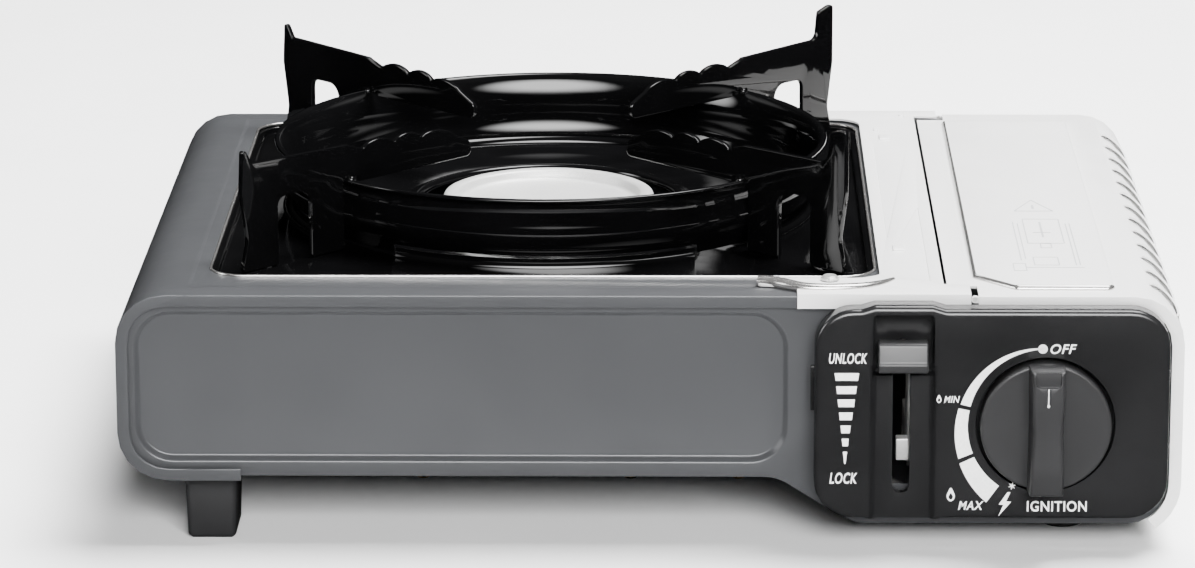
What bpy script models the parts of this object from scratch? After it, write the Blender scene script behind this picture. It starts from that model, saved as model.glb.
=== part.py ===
"""Table-top gas camping stove with a side bay for its gas cartridge.

Units are metres, +Z is up, +X is to the right of someone who faces the controls and +Y runs
away from them. The origin is on the ground, below the middle of the whole stove.
"""

import math

import bmesh
import bpy
from mathutils import Matrix, Vector

MM = 0.001

# ---------------------------------------------------------------- driving dimensions
BODY_WIDTH = 342 * MM            # left wall to the lid's right wall
BODY_DEPTH = 254 * MM            # front flange to back flange
DECK_HEIGHT = 84.3 * MM          # top of the deck above the ground
CASE_HEIGHT = 62 * MM            # deck to the underside of the left part
BAY_HEIGHT = 76.2 * MM           # deck to the underside of the cartridge bay
SHEET = 0.8 * MM                 # all pressed steel sheets
GAP = 0.3 * MM                   # between pieces that touch
CORNER_RADIUS = 16 * MM          # rounded long edges of the body and the lid
FLANGE = 4 * MM                  # folded front and back edges of body and lid
CORNER_STEPS = 5

# Base, under the body, with its pressed front panel
TRAY_WALL_GAP = 0.1 * MM         # more room beside the body's walls
TRAY_RIGHT = BODY_WIDTH - SHEET - 4 * MM
TRAY_RADIUS = 12 * MM
STEP_LEFT = BODY_WIDTH - 130 * MM
STEP_RIGHT = BODY_WIDTH - 104 * MM
STEP_UPPER_RADIUS = 14 * MM
STEP_KNEE = 8 * MM               # the step turns steeper here, left of its end
STEP_KNEE_RISE = 4 * MM
STEP_LOWER_RADIUS = 6 * MM
BAY_WALL_TOP = -45 * MM          # the base's right wall is open above this
FIELD_LEFT = 5.8 * MM
FIELD_RIGHT = BODY_WIDTH - 126.2 * MM
FIELD_TOP = -6 * MM
FIELD_BOTTOM = -56 * MM
FIELD_RADIUS = 12 * MM
FIELD_DEPTH = 1.4 * MM

# Bridge plate, between the burner well and the lid
BRIDGE_LEFT = BODY_WIDTH - 96.7 * MM         # from the left wall, beside the well
BRIDGE_TAB_LEFT = BODY_WIDTH - 123.7 * MM     # its front and back tabs start here
BRIDGE_RIGHT = BODY_WIDTH - 68.4 * MM        # its front and back tabs end here
BRIDGE_TAB_DEPTH = 11.5 * MM
BRIDGE_FOLD = 4.9 * MM           # height of the folded front and back edges
TONGUE_LEFT = BODY_WIDTH - 136.3 * MM
TONGUE_FRONT = 11.5 * MM
TONGUE_BACK = 19.0 * MM
CLIP_SCREW_X = BODY_WIDTH - 113 * MM
CLIP_SCREW_Y = 16 * MM
CLIP_SCREW_HOLE = 2 * MM

# Lid over the cartridge bay
LID_LEFT = BODY_WIDTH - 75.4 * MM
LID_FLANGE_LEFT = BODY_WIDTH - 65.9 * MM
LID_PANEL_RISE = 1.3 * MM
LID_PANEL_LEFT = BODY_WIDTH - 66 * MM
LID_PANEL_RIGHT = BODY_WIDTH - 22.5 * MM
LID_PANEL_FRONT = 9.0 * MM
LID_PANEL_CHAMFER = 13.5 * MM
LID_LOWER_RADIUS = 18 * MM
LID_LOWER_ARC = math.radians(56)
LID_AXIS_X = BODY_WIDTH - 67.1 * MM
LID_AXIS_DROP = 1.0 * MM
LID_EAR_RADIUS = 1.25 * MM
LID_EAR_DEPTH = 1.5 * MM
LID_PIN_RADIUS = 0.7 * MM
LID_PIN_NEAR = 0.1 * MM
LID_PIN_LENGTH = 1.9 * MM
PIN_CLEARANCE = 0.05 * MM
LOUVRE_COUNT = 13
LOUVRE_PITCH = 17.2 * MM
LOUVRE_FIRST = 15.5 * MM
LOUVRE_LENGTH = 15 * MM
LOUVRE_WIDTH = 2.2 * MM
LOUVRE_CUT = 8 * MM
LOUVRE_SLANT = math.radians(-38)

# Burner well and drip pan
WELL_LEFT = 27.4 * MM
WELL_RIGHT = BODY_WIDTH - 97.3 * MM
WELL_FRONT = 25 * MM
WELL_BACK = BODY_DEPTH - 13 * MM
WELL_RADIUS = 12 * MM
PAN_FLANGE = 3.4 * MM
PAN_WALL_INSET = 2.2 * MM
PAN_FLOOR_DROP = 3.1 * MM        # deck to the pan floor's top
PAN_HOLE_RADIUS = 44 * MM

# Burner
BURNER_X = (WELL_LEFT + WELL_RIGHT) / 2 - 0.55 * MM
BURNER_Y = (WELL_FRONT + WELL_BACK) / 2 + 3.75 * MM
BURNER_RADIUS = 36.25 * MM
BURNER_DISH_RADIUS = 30.5 * MM
BURNER_DISH_DEPTH = 2 * MM
BURNER_CAP_HEIGHT = 7 * MM
BURNER_PORTS = 30
BURNER_BOWL_DEPTH = 20 * MM
BURNER_NECK_RADIUS = 14 * MM
TUBE_DROP = 36 * MM              # deck to the mixing tube's axis
MIXING_TUBE_RADIUS = 9 * MM
MIXING_TUBE_WALL = 1 * MM
CASTING_WALL = 1.5 * MM
TUBE_SHORT = 14 * MM             # the mixing tube stops this far before the nozzle's place
PORT_LENGTH = 7 * MM
PORT_WIDTH = 1.6 * MM
PORT_HEIGHT = 1.8 * MM
PORT_DROP = 5.6 * MM
PORT_SET_IN = 2.5 * MM
HAT_HALF_WIDTH = 22 * MM         # burner bracket, a hat section
HAT_FLANGE = 8 * MM
HAT_SHEET = 1.2 * MM
HAT_DEPTH = 18 * MM
NOZZLE_LENGTH = 11 * MM
NOZZLE_TIP_RADIUS = 2.2 * MM
NOZZLE_END_RADIUS = 4.5 * MM
NOZZLE_X = BODY_WIDTH - 93 * MM
NOZZLE_Y = 54 * MM

# Pan support
RING_RADIUS = 94.6 * MM
RING_LIP = 3.3 * MM
RING_TOP = 20.8 * MM             # above the deck
RING_WALL = 1.2 * MM
ARCH_WIDTH = RING_RADIUS + 5.4 * MM
ARCH_TOP = 0.3 * MM
ARM_THICKNESS = 1.4 * MM
ARM_REACH = 139.5 * MM
ARM_FOOT = -2.8 * MM
ARM_TOP = 33.5 * MM
ARM_WINDOW_INNER = 109.5 * MM
ARM_WINDOW_OUTER = 123.8 * MM
ARM_WINDOW_TOP = 20 * MM
ARM_FINGER = 19.2 * MM
GUARD_TOP = 45 * MM

# Control panel
FASCIA_LEFT = BODY_WIDTH - 118.2 * MM
FASCIA_RIGHT = BODY_WIDTH - 5.2 * MM
FASCIA_TOP = -2.2 * MM
FASCIA_BOTTOM = -71.3 * MM
FASCIA_RADIUS = 12.5 * MM
FASCIA_PROUD = 9 * MM
FASCIA_WALL = 2 * MM
SKIRT_INSET = 6.5 * MM
KNOB_X = BODY_WIDTH - 44.6 * MM
KNOB_Z = -39.8 * MM
KNOB_RADIUS = 20.9 * MM
KNOB_CLEARANCE = 1.4 * MM
KNOB_PROUD = 22 * MM             # front of the grip bar, from the body's front
KNOB_DISC_PROUD = 13 * MM
KNOB_BAR = 10.5 * MM
LEVER_LEFT = BODY_WIDTH - 98.2 * MM
LEVER_RIGHT = BODY_WIDTH - 82.2 * MM
LEVER_TOP = -12 * MM
LEVER_HEIGHT = 9.7 * MM
LEVER_PROUD = 14 * MM
LEVER_TRAVEL = 36 * MM
SLOT_LEFT = BODY_WIDTH - 93.2 * MM
SLOT_RIGHT = BODY_WIDTH - 87.6 * MM
CHANNEL_MARGIN = 2.5 * MM
CHANNEL_DEPTH = 8 * MM

# Gas valve, cartridge bay and lock
PANEL_SET_BACK = 2.2 * MM        # front panel behind the body's front flange
SHIELD_X = BODY_WIDTH - 80.5 * MM
VALVE_RADIUS = 18 * MM
VALVE_FRONT = 16.7 * MM
VALVE_BACK = 46 * MM
STEM_RADIUS = 3 * MM
BRACKET_THICKNESS = 1.4 * MM
SEAL_RADIUS = 7.5 * MM
SEAL_HEIGHT = 3 * MM
CAM_RADIUS = 6 * MM
CAM_ARM = 20 * MM
CAM_FRONT = 8 * MM
CAM_THICKNESS = 3 * MM
CAM_ARM_WIDTH = 4 * MM
CAM_REST_ANGLE = math.radians(20)
CARRIAGE_Y = 54 * MM
CARRIAGE_TRAVEL = 4 * MM
CARRIAGE_NOTCH_RADIUS = 15 * MM
LOCK_PIN_RADIUS = 1.5 * MM
LOCK_PIN_Y = 20 * MM
LOCK_PIN_Z = -19 * MM
CRADLE_RADIUS = 34.5 * MM
IGNITER_LENGTH = 24 * MM
PLUNGER_LENGTH = 5 * MM
PLUNGER_TRAVEL = 3.5 * MM
WIRE_RADIUS = 1.3 * MM
ELECTRODE_REACH = 41 * MM
ELECTRODE_ANGLE = math.radians(-75)
INSULATOR_RADIUS = 2.1 * MM
PIPE_RADIUS = 2.5 * MM

# Feet and screws
LEG_LEFT = 20.6 * MM
LEG_WIDTH = 16.8 * MM
RETURN_RIGHT = 39.6 * MM         # the wrapped sheet ends here, under the base
LEG_DEPTH = 24 * MM
LEG_SET_BACK = 8 * MM
LEG_TAPER = 0.92
LEG_ROUNDING = 1.5 * MM
FOOT_SET_BACK = 30 * MM
FOOT_RADIUS = 8 * MM
FOOT_X = BODY_WIDTH - 36 * MM
SCREW_HEAD_RADIUS = 3.2 * MM
SCREW_HEAD_HEIGHT = 2.2 * MM
SCREW_SET_BACK = 10 * MM
BASE_SCREW_PLACES = (98 * MM, 165 * MM, 200 * MM)

# ---------------------------------------------------------------- reference places
OVERALL_FRONT = -KNOB_PROUD
OVERALL_BACK = BODY_DEPTH + GAP + SHEET
LEFT = -BODY_WIDTH / 2
FRONT = -(OVERALL_FRONT + OVERALL_BACK) / 2
CASE_BOTTOM = -CASE_HEIGHT
BAY_BOTTOM = -BAY_HEIGHT
DECK_RIGHT = SHIELD_X - 2 * MM
TRAY_GAP = SHEET + GAP
TRAY_BOTTOM = CASE_BOTTOM + TRAY_GAP + TRAY_WALL_GAP
TUBE_RUN = Vector((NOZZLE_X - BURNER_X, NOZZLE_Y - BURNER_Y, 0))
TUBE_DIRECTION = TUBE_RUN.normalized()
TUBE_LENGTH = TUBE_RUN.length - BURNER_NECK_RADIUS - TUBE_SHORT


def place(x, y, z):
    """Point given from the left wall, the front flange and the deck's top."""
    return Vector((LEFT + x, FRONT + y, DECK_HEIGHT + z))


# ---------------------------------------------------------------- scene and materials
for old in list(bpy.data.objects):
    bpy.data.objects.remove(old, do_unlink=True)

PARTS = bpy.data.collections.new("camping_stove")
CUTTERS = bpy.data.collections.new("cutters")
for collection in (PARTS, CUTTERS):
    bpy.context.scene.collection.children.link(collection)


def material(name, color, roughness, metallic):
    """Principled material with one colour."""
    finish = bpy.data.materials.new(name)
    finish.use_nodes = True
    shader = finish.node_tree.nodes["Principled BSDF"]
    shader.inputs["Base Color"].default_value = (*color, 1)
    shader.inputs["Roughness"].default_value = roughness
    shader.inputs["Metallic"].default_value = metallic
    return finish


GREY_PAINT = material("grey_paint", (0.19, 0.195, 0.205), 0.45, 0.2)
SILVER_PAINT = material("silver_paint", (0.7, 0.7, 0.71), 0.35, 0.6)
BLACK_ENAMEL = material("black_enamel", (0.008, 0.008, 0.009), 0.08, 0.0)
BLACK_PLASTIC = material("black_plastic", (0.015, 0.015, 0.016), 0.35, 0.0)
CAST_ALLOY = material("cast_alloy", (0.62, 0.62, 0.61), 0.5, 0.9)
PLATED_STEEL = material("plated_steel", (0.6, 0.6, 0.6), 0.3, 1.0)
BRASS = material("brass", (0.72, 0.5, 0.2), 0.3, 1.0)
RUBBER = material("rubber", (0.02, 0.02, 0.02), 0.7, 0.0)
CERAMIC = material("ceramic", (0.85, 0.83, 0.78), 0.3, 0.0)
WIRE_COVER = material("wire_cover", (0.03, 0.03, 0.03), 0.5, 0.0)


# ---------------------------------------------------------------- modelling helpers
def rounded(corners, steps=CORNER_STEPS):
    """Closed outline through (u, v, radius) corners, with an arc at each round corner."""
    points = []
    for index, (u, v, radius) in enumerate(corners):
        corner = Vector((u, v))
        if radius <= 0:
            points.append(corner)
            continue
        back = (Vector(corners[index - 1][:2]) - corner).normalized()
        ahead = (Vector(corners[(index + 1) % len(corners)][:2]) - corner).normalized()
        half = back.angle(ahead) / 2
        centre = corner + (back + ahead).normalized() * radius / math.sin(half)
        reach = radius / math.tan(half)
        start = corner + back * reach - centre
        end = corner + ahead * reach - centre
        first = math.atan2(start.y, start.x)
        turn = math.atan2(end.y, end.x) - first
        turn = (turn + math.pi) % (2 * math.pi) - math.pi
        for step in range(steps + 1):
            angle = first + turn * step / steps
            points.append(centre + radius * Vector((math.cos(angle), math.sin(angle))))
    return points


def arc(u, v, radius, first, last, steps=CORNER_STEPS):
    """Points on an arc from the first to the last angle, in radians."""
    angles = [first + (last - first) * step / steps for step in range(steps + 1)]
    return [Vector((u + radius * math.cos(a), v + radius * math.sin(a))) for a in angles]


def band(path, near, far):
    """Closed outline of the strip between two offsets to the left of an open path."""
    sides = ([], [])
    for index, point in enumerate(path):
        before = path[max(index - 1, 0)]
        after = path[min(index + 1, len(path) - 1)]
        into = (point - before).normalized() if index else (after - point).normalized()
        out = (after - point).normalized() if index < len(path) - 1 else into
        normal = (Vector((-into.y, into.x)) + Vector((-out.y, out.x))).normalized()
        stretch = 1 / normal.dot(Vector((-into.y, into.x)))
        for side, offset in zip(sides, (near, far)):
            side.append(point + normal * offset * stretch)
    return sides[0] + sides[1][::-1]


AXIS_BASIS = {
    "X": Matrix(((0, 0, 1), (1, 0, 0), (0, 1, 0))),
    "Y": Matrix(((1, 0, 0), (0, 0, -1), (0, 1, 0))),
    "Z": Matrix.Identity(3),
}


def add(name, mesh, finish, matrix=None):
    """New object for a mesh: a part where it has a finish, else a cutter."""
    thing = bpy.data.objects.new(name, mesh)
    if matrix is not None:
        thing.matrix_world = matrix
    if finish is None:
        CUTTERS.objects.link(thing)
        thing.hide_render = True
        thing.display_type = "WIRE"
    else:
        PARTS.objects.link(thing)
        mesh.materials.clear()
        mesh.materials.append(finish)
    return thing


def mesh_of(curve_object, name):
    """Welded mesh of an evaluated curve object, which is then removed."""
    bpy.context.view_layer.update()
    graph = bpy.context.evaluated_depsgraph_get()
    mesh = bpy.data.meshes.new_from_object(curve_object.evaluated_get(graph))
    mesh.name = name
    bpy.data.objects.remove(curve_object, do_unlink=True)
    shape = bmesh.new()
    shape.from_mesh(mesh)
    bmesh.ops.remove_doubles(shape, verts=shape.verts, dist=1e-6)
    bmesh.ops.recalc_face_normals(shape, faces=shape.faces)
    shape.to_mesh(mesh)
    shape.free()
    return mesh


def extruded(name, outline, axis, low, high, finish=None):
    """Flat outline extruded along an axis; (u, v) are the other two axes in order."""
    curve = bpy.data.curves.new(name, "CURVE")
    curve.dimensions = "2D"
    curve.fill_mode = "BOTH"
    curve.extrude = (high - low) / 2
    spline = curve.splines.new("POLY")
    spline.points.add(len(outline) - 1)
    for target, point in zip(spline.points, outline):
        target.co = (point[0], point[1], 0, 1)
    spline.use_cyclic_u = True
    thing = bpy.data.objects.new(name, curve)
    bpy.context.scene.collection.objects.link(thing)
    basis = AXIS_BASIS[axis]
    middle = basis @ Vector((0, 0, 1)) * ((low + high) / 2)
    if axis == "Y":
        middle = -middle
    return add(name, mesh_of(thing, name), finish, Matrix.Translation(middle) @ basis.to_4x4())


def tube(name, points, radius, finish, resolution=2):
    """Round wire or pipe through a list of points."""
    curve = bpy.data.curves.new(name, "CURVE")
    curve.dimensions = "3D"
    curve.bevel_depth = radius
    curve.bevel_resolution = resolution
    curve.use_fill_caps = True
    spline = curve.splines.new("POLY")
    spline.points.add(len(points) - 1)
    for target, point in zip(spline.points, points):
        target.co = (*point, 1)
    thing = bpy.data.objects.new(name, curve)
    bpy.context.scene.collection.objects.link(thing)
    made = add(name, mesh_of(thing, name), finish)
    smooth(made)
    return made


def smooth_route(points, steps=6):
    """Points along a smooth curve through the given ones."""
    route = []
    for index in range(len(points) - 1):
        p0 = points[max(index - 1, 0)]
        p1 = points[index]
        p2 = points[index + 1]
        p3 = points[min(index + 2, len(points) - 1)]
        for step in range(steps):
            t = step / steps
            route.append(0.5 * (2 * p1 + (p2 - p0) * t
                                + (2 * p0 - 5 * p1 + 4 * p2 - p3) * t ** 2
                                + (3 * p1 - p0 - 3 * p2 + p3) * t ** 3))
    route.append(points[-1])
    return route


def box(name, low, high, finish=None, bevel=0, segments=2):
    """Box between two corners, with its edges rounded where a bevel is given."""
    low = Vector(low)
    high = Vector(high)
    mesh = bpy.data.meshes.new(name)
    shape = bmesh.new()
    bmesh.ops.create_cube(shape, size=1)
    bmesh.ops.scale(shape, vec=high - low, verts=shape.verts)
    shape.to_mesh(mesh)
    shape.free()
    thing = add(name, mesh, finish, Matrix.Translation((low + high) / 2))
    if bevel:
        edge = thing.modifiers.new("rounded_edges", "BEVEL")
        edge.width = bevel
        edge.segments = segments
        edge.limit_method = "ANGLE"
    return thing


def rod(name, start, end, radius, finish=None, sides=20, end_radius=None):
    """Cylinder or cone from one point to another."""
    start = Vector(start)
    end = Vector(end)
    mesh = bpy.data.meshes.new(name)
    shape = bmesh.new()
    bmesh.ops.create_cone(
        shape, cap_ends=True, segments=sides, radius1=radius,
        radius2=radius if end_radius is None else end_radius, depth=(end - start).length)
    shape.to_mesh(mesh)
    shape.free()
    turn = (end - start).to_track_quat("Z", "Y").to_matrix().to_4x4()
    made = add(name, mesh, finish, Matrix.Translation((start + end) / 2) @ turn)
    smooth(made)
    return made


def turned(name, profile, steps, origin, finish=None, direction=(0, 0, 1)):
    """Profile of (radius, height) points turned about an axis through the origin point."""
    closed = profile[0][0] > 0 or profile[-1][0] > 0
    mesh = bpy.data.meshes.new(name)
    count = len(profile)
    edges = [(index, index + 1) for index in range(count - 1)]
    if closed:
        edges.append((count - 1, 0))
    mesh.from_pydata([(radius, 0, height) for radius, height in profile], edges, [])
    turn = Vector(direction).to_track_quat("Z", "Y").to_matrix().to_4x4()
    thing = add(name, mesh, finish, Matrix.Translation(Vector(origin)) @ turn)
    screw = thing.modifiers.new("turned", "SCREW")
    screw.steps = steps
    screw.render_steps = steps
    screw.use_merge_vertices = True
    screw.merge_threshold = 1e-5
    screw.use_smooth_shade = True
    return thing


def smooth(thing):
    """Smooth shading between faces that meet at less than 40 degrees."""
    thing.data.shade_smooth()
    thing.data.set_sharp_from_angle(angle=math.radians(40))


def boolean(thing, other, operation):
    step = thing.modifiers.new(operation.lower(), "BOOLEAN")
    step.operation = operation
    step.object = other


def cut(thing, *others):
    """Cut the other shapes away from this one."""
    for other in others:
        boolean(thing, other, "DIFFERENCE")


def join(thing, *others):
    """Join the other shapes to this one."""
    for other in others:
        boolean(thing, other, "UNION")


def boxes(name, corners, finish=None):
    """Several separate boxes as one cutter."""
    mesh = bpy.data.meshes.new(name)
    shape = bmesh.new()
    for low, high in corners:
        made = bmesh.ops.create_cube(shape, size=1)["verts"]
        bmesh.ops.scale(shape, vec=Vector(high) - Vector(low), verts=made)
        bmesh.ops.translate(shape, vec=(Vector(low) + Vector(high)) / 2, verts=made)
    shape.to_mesh(mesh)
    shape.free()
    return add(name, mesh, finish)


def xz(points):
    """Outline points (x, z) or (x, z, radius), moved from the stove's left and deck."""
    return [(LEFT + point[0], DECK_HEIGHT + point[1], *point[2:]) for point in points]


def xy(points):
    """Outline points (x, y) or (x, y, radius), moved from the stove's left and front."""
    return [(LEFT + point[0], FRONT + point[1], *point[2:]) for point in points]


def yz(points):
    """Outline points (y, z) or (y, z, radius), moved from the stove's front and deck."""
    return [(FRONT + point[0], DECK_HEIGHT + point[1], *point[2:]) for point in points]


# ---------------------------------------------------------------- body and base
def body_path():
    """Outside of the wrapped body sheet, from its bottom edge round to the deck's right."""
    r = CORNER_RADIUS
    path = [Vector((RETURN_RIGHT, CASE_BOTTOM))]
    path += arc(r, CASE_BOTTOM + r, r, math.radians(270), math.radians(180))
    path += arc(r, -r, r, math.radians(180), math.radians(90))
    path.append(Vector((DECK_RIGHT, 0)))
    return [Vector(point[:2]) for point in xz(path)]


def make_body_shell():
    path = body_path()
    shell = extruded("body_shell", band(path, 0, -FLANGE), "Y", FRONT, FRONT + BODY_DEPTH, GREY_PAINT)
    first = path[0] + Vector((5 * MM, 0))
    last = path[-1] + Vector((5 * MM, 0))
    inside = band([first] + path[1:-1] + [last], -SHEET, -FLANGE - 3 * MM)
    cut(shell, extruded("body_hollow", inside, "Y", FRONT + SHEET, FRONT + BODY_DEPTH - SHEET))
    well = rounded(xy([
        (WELL_LEFT, WELL_FRONT, WELL_RADIUS), (WELL_RIGHT, WELL_FRONT, WELL_RADIUS),
        (WELL_RIGHT, WELL_BACK, WELL_RADIUS), (WELL_LEFT, WELL_BACK, WELL_RADIUS)]))
    cut(shell, extruded("well_cut", well, "Z", DECK_HEIGHT - 5 * MM, DECK_HEIGHT + 5 * MM))
    cut(shell, rod("deck_screw_hole", place(CLIP_SCREW_X, CLIP_SCREW_Y, -3 * MM),
                   place(CLIP_SCREW_X, CLIP_SCREW_Y, 3 * MM), CLIP_SCREW_HOLE, sides=12))
    smooth(shell)


def tray_outline(inset, left, top):
    """Front view of the base: left part, step down and cartridge bay, without the wall."""
    r = CORNER_RADIUS - TRAY_GAP
    lower = r if left >= 0 else 0
    return rounded(xz([
        (left + inset, top, lower), (left + inset, TRAY_BOTTOM + inset, lower),
        (STEP_LEFT + inset / 2, TRAY_BOTTOM + inset, STEP_UPPER_RADIUS),
        (STEP_RIGHT - STEP_KNEE, BAY_BOTTOM + STEP_KNEE_RISE + inset, STEP_KNEE_RISE),
        (STEP_RIGHT + inset / 2, BAY_BOTTOM + inset, STEP_LOWER_RADIUS),
        (TRAY_RIGHT - inset, BAY_BOTTOM + inset, TRAY_RADIUS - inset),
        (TRAY_RIGHT - inset, top, TRAY_RADIUS if left >= 0 else 0)]))


def field_outline(grow):
    """Pressed field of the front panel, grown all round."""
    r = FIELD_RADIUS + grow
    return rounded(xz([
        (FIELD_LEFT - grow, FIELD_BOTTOM - grow, r), (FIELD_RIGHT + grow, FIELD_BOTTOM - grow, r),
        (FIELD_RIGHT + grow, FIELD_TOP + grow, r), (FIELD_LEFT - grow, FIELD_TOP + grow, r)]))


def make_base_tray():
    front = FRONT + PANEL_SET_BACK
    back = FRONT + BODY_DEPTH - PANEL_SET_BACK
    wall_gap = TRAY_GAP + TRAY_WALL_GAP
    tray = extruded("base_tray", tray_outline(0, wall_gap, -wall_gap), "Y", front, back,
                    GREY_PAINT)
    hollow = tray_outline(SHEET, -20 * MM, 10 * MM)
    cut(tray, extruded("tray_hollow", hollow, "Y", front + SHEET, back - SHEET))
    side_top = DECK_HEIGHT + BAY_WALL_TOP
    cut(tray, box("side_cut", (LEFT + TRAY_RIGHT - 15 * MM, front + SHEET, side_top),
                  (LEFT + TRAY_RIGHT + 5 * MM, back - SHEET, DECK_HEIGHT + 5 * MM)))
    join(tray, extruded("field_dish", field_outline(0), "Y",
                        front + SHEET / 2, front + FIELD_DEPTH + SHEET))
    cut(tray, extruded("field_press", field_outline(-SHEET), "Y",
                       front - 1 * MM, front + FIELD_DEPTH))
    knob_hole = rod("knob_hole", place(KNOB_X, -5 * MM, KNOB_Z), place(KNOB_X, 6 * MM, KNOB_Z),
                    STEM_RADIUS + 3 * MM)
    lever_hole = box("lever_hole", place(SLOT_LEFT - 1 * MM, 0, LOCK_PIN_Z - LEVER_TRAVEL - 8 * MM),
                     place(SLOT_RIGHT + 1 * MM, 6 * MM, LOCK_PIN_Z + 8 * MM))
    cut(tray, knob_hole, lever_hole)
    smooth(tray)


# ---------------------------------------------------------------- bridge plate and lid
def make_bridge_plate():
    low = GAP
    high = GAP + SHEET
    front = -GAP - SHEET
    back = BODY_DEPTH + GAP + SHEET
    notch_front = BRIDGE_TAB_DEPTH
    notch_back = BODY_DEPTH - 7.5 * MM
    edge = LID_LEFT - 1.2 * MM
    outline = xy([
        (BRIDGE_TAB_LEFT, front, 0), (BRIDGE_RIGHT, front, 0), (BRIDGE_RIGHT, notch_front, 0),
        (edge, notch_front, 0), (edge, notch_back, 0), (BRIDGE_RIGHT, notch_back, 0),
        (BRIDGE_RIGHT, back, 0), (BRIDGE_TAB_LEFT, back, 0),
        (BRIDGE_TAB_LEFT, WELL_BACK + 2 * MM, 3 * MM), (BRIDGE_LEFT, WELL_BACK + 2 * MM, 10 * MM),
        (BRIDGE_LEFT, TONGUE_BACK + 4 * MM, 3 * MM), (BRIDGE_LEFT - 6 * MM, TONGUE_BACK, 6 * MM),
        (TONGUE_LEFT, TONGUE_BACK, 2 * MM), (TONGUE_LEFT, TONGUE_FRONT, 2 * MM),
        (BRIDGE_TAB_LEFT, TONGUE_FRONT - 3 * MM, 4 * MM)])
    plate = extruded("bridge_plate", rounded(outline), "Z", DECK_HEIGHT + low,
                     DECK_HEIGHT + high, SILVER_PAINT)
    for name, near, far in (("front_fold", front, front + SHEET),
                            ("back_fold", back - SHEET, back)):
        join(plate, box(name, place(BRIDGE_TAB_LEFT, near, high - BRIDGE_FOLD),
                        place(BRIDGE_RIGHT, far, low + SHEET / 2)))
    screw_hole = rod("clip_screw_hole", place(CLIP_SCREW_X, CLIP_SCREW_Y, -3 * MM),
                     place(CLIP_SCREW_X, CLIP_SCREW_Y, 3 * MM), 1.8 * MM, sides=12)
    cut(plate, screw_hole)
    smooth(plate)


def lid_path():
    """Outside of the lid's sheet, from its left edge over the top to its lower lip."""
    r = CORNER_RADIUS
    low = LID_LOWER_RADIUS
    path = [Vector((LID_LEFT, 0))]
    path += arc(BODY_WIDTH - r, -r, r, math.radians(90), 0)
    path += arc(BODY_WIDTH - low, -BAY_HEIGHT + low - 4 * MM, low, 0, -LID_LOWER_ARC)
    return [Vector(point[:2]) for point in xz(path)]


def panel_outline(grow):
    """Raised panel of the lid, grown all round."""
    left = LID_PANEL_LEFT - grow
    right = LID_PANEL_RIGHT + grow
    front = LID_PANEL_FRONT - grow
    back = BODY_DEPTH - LID_PANEL_FRONT - 8 * MM + grow
    chamfer = LID_PANEL_CHAMFER
    return rounded(xy([
        (left + chamfer, front, 2 * MM), (right - 2 * MM, front, 0), (right, front + 3 * MM, 0),
        (right, back, 2 * MM), (left, back, 2 * MM), (left, front + chamfer, 2 * MM)]), 3)


def louvre_mesh():
    """Slanted slots over the lid's rounded edge, as one cutter."""
    mesh = bpy.data.meshes.new("louvres")
    shape = bmesh.new()
    r = CORNER_RADIUS
    for index in range(LOUVRE_COUNT):
        y = LOUVRE_FIRST + LOUVRE_PITCH * index
        made = bmesh.ops.create_cube(shape, size=1)["verts"]
        bmesh.ops.scale(shape, vec=(LOUVRE_LENGTH, LOUVRE_WIDTH, LOUVRE_CUT), verts=made)
        slant = Matrix.Rotation(LOUVRE_SLANT, 4, "Z")
        tilt = Matrix.Rotation(math.radians(45), 4, "Y")
        reach = (r + 1 * MM) * math.sqrt(0.5)
        middle = place(BODY_WIDTH - r + reach, y, -r + reach)
        bmesh.ops.transform(shape, matrix=Matrix.Translation(middle) @ tilt @ slant, verts=made)
    shape.to_mesh(mesh)
    shape.free()
    return add("louvres", mesh, None)


def make_lid():
    path = lid_path()
    lid = extruded("lid", band(path, 0, -FLANGE), "Y", FRONT, FRONT + BODY_DEPTH, SILVER_PAINT)
    first = path[0] - Vector((5 * MM, 0))
    ahead = (path[-1] - path[-2]).normalized()
    inside = band([first] + path[1:-1] + [path[-1] + ahead * 5 * MM], -SHEET, -FLANGE - 3 * MM)
    cut(lid, extruded("lid_hollow", inside, "Y", FRONT + SHEET, FRONT + BODY_DEPTH - SHEET))
    corner_left = LEFT + LID_LEFT - 2 * MM
    corner_right = LEFT + LID_FLANGE_LEFT
    cut(lid, boxes("lid_corners", (
        ((corner_left, FRONT - 2 * MM, DECK_HEIGHT - 10 * MM),
         (corner_right, FRONT + BRIDGE_TAB_DEPTH + 1.5 * MM, DECK_HEIGHT + 5 * MM)),
        ((corner_left, FRONT + BODY_DEPTH - 9 * MM, DECK_HEIGHT - 10 * MM),
         (corner_right, FRONT + BODY_DEPTH + 2 * MM, DECK_HEIGHT + 5 * MM)))))
    join(lid, extruded("panel_dish", panel_outline(0), "Z",
                       DECK_HEIGHT - SHEET / 2, DECK_HEIGHT + LID_PANEL_RISE))
    cut(lid, extruded("panel_press", panel_outline(-SHEET), "Z",
                      DECK_HEIGHT - 3 * MM, DECK_HEIGHT + LID_PANEL_RISE - SHEET))
    cut(lid, louvre_mesh())
    for name, y in (("front_ear", SHEET / 2), ("back_ear", BODY_DEPTH - SHEET / 2 - LID_EAR_DEPTH)):
        join(lid, lid_ear(name, y))
    smooth(lid)
    for name, near in (("lid_pin_front", LID_PIN_NEAR),
                       ("lid_pin_back", BODY_DEPTH - LID_PIN_NEAR - LID_PIN_LENGTH)):
        rod(name, place(LID_AXIS_X, near, -LID_AXIS_DROP),
            place(LID_AXIS_X, near + LID_PIN_LENGTH, -LID_AXIS_DROP), LID_PIN_RADIUS, PLATED_STEEL, 16)


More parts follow.
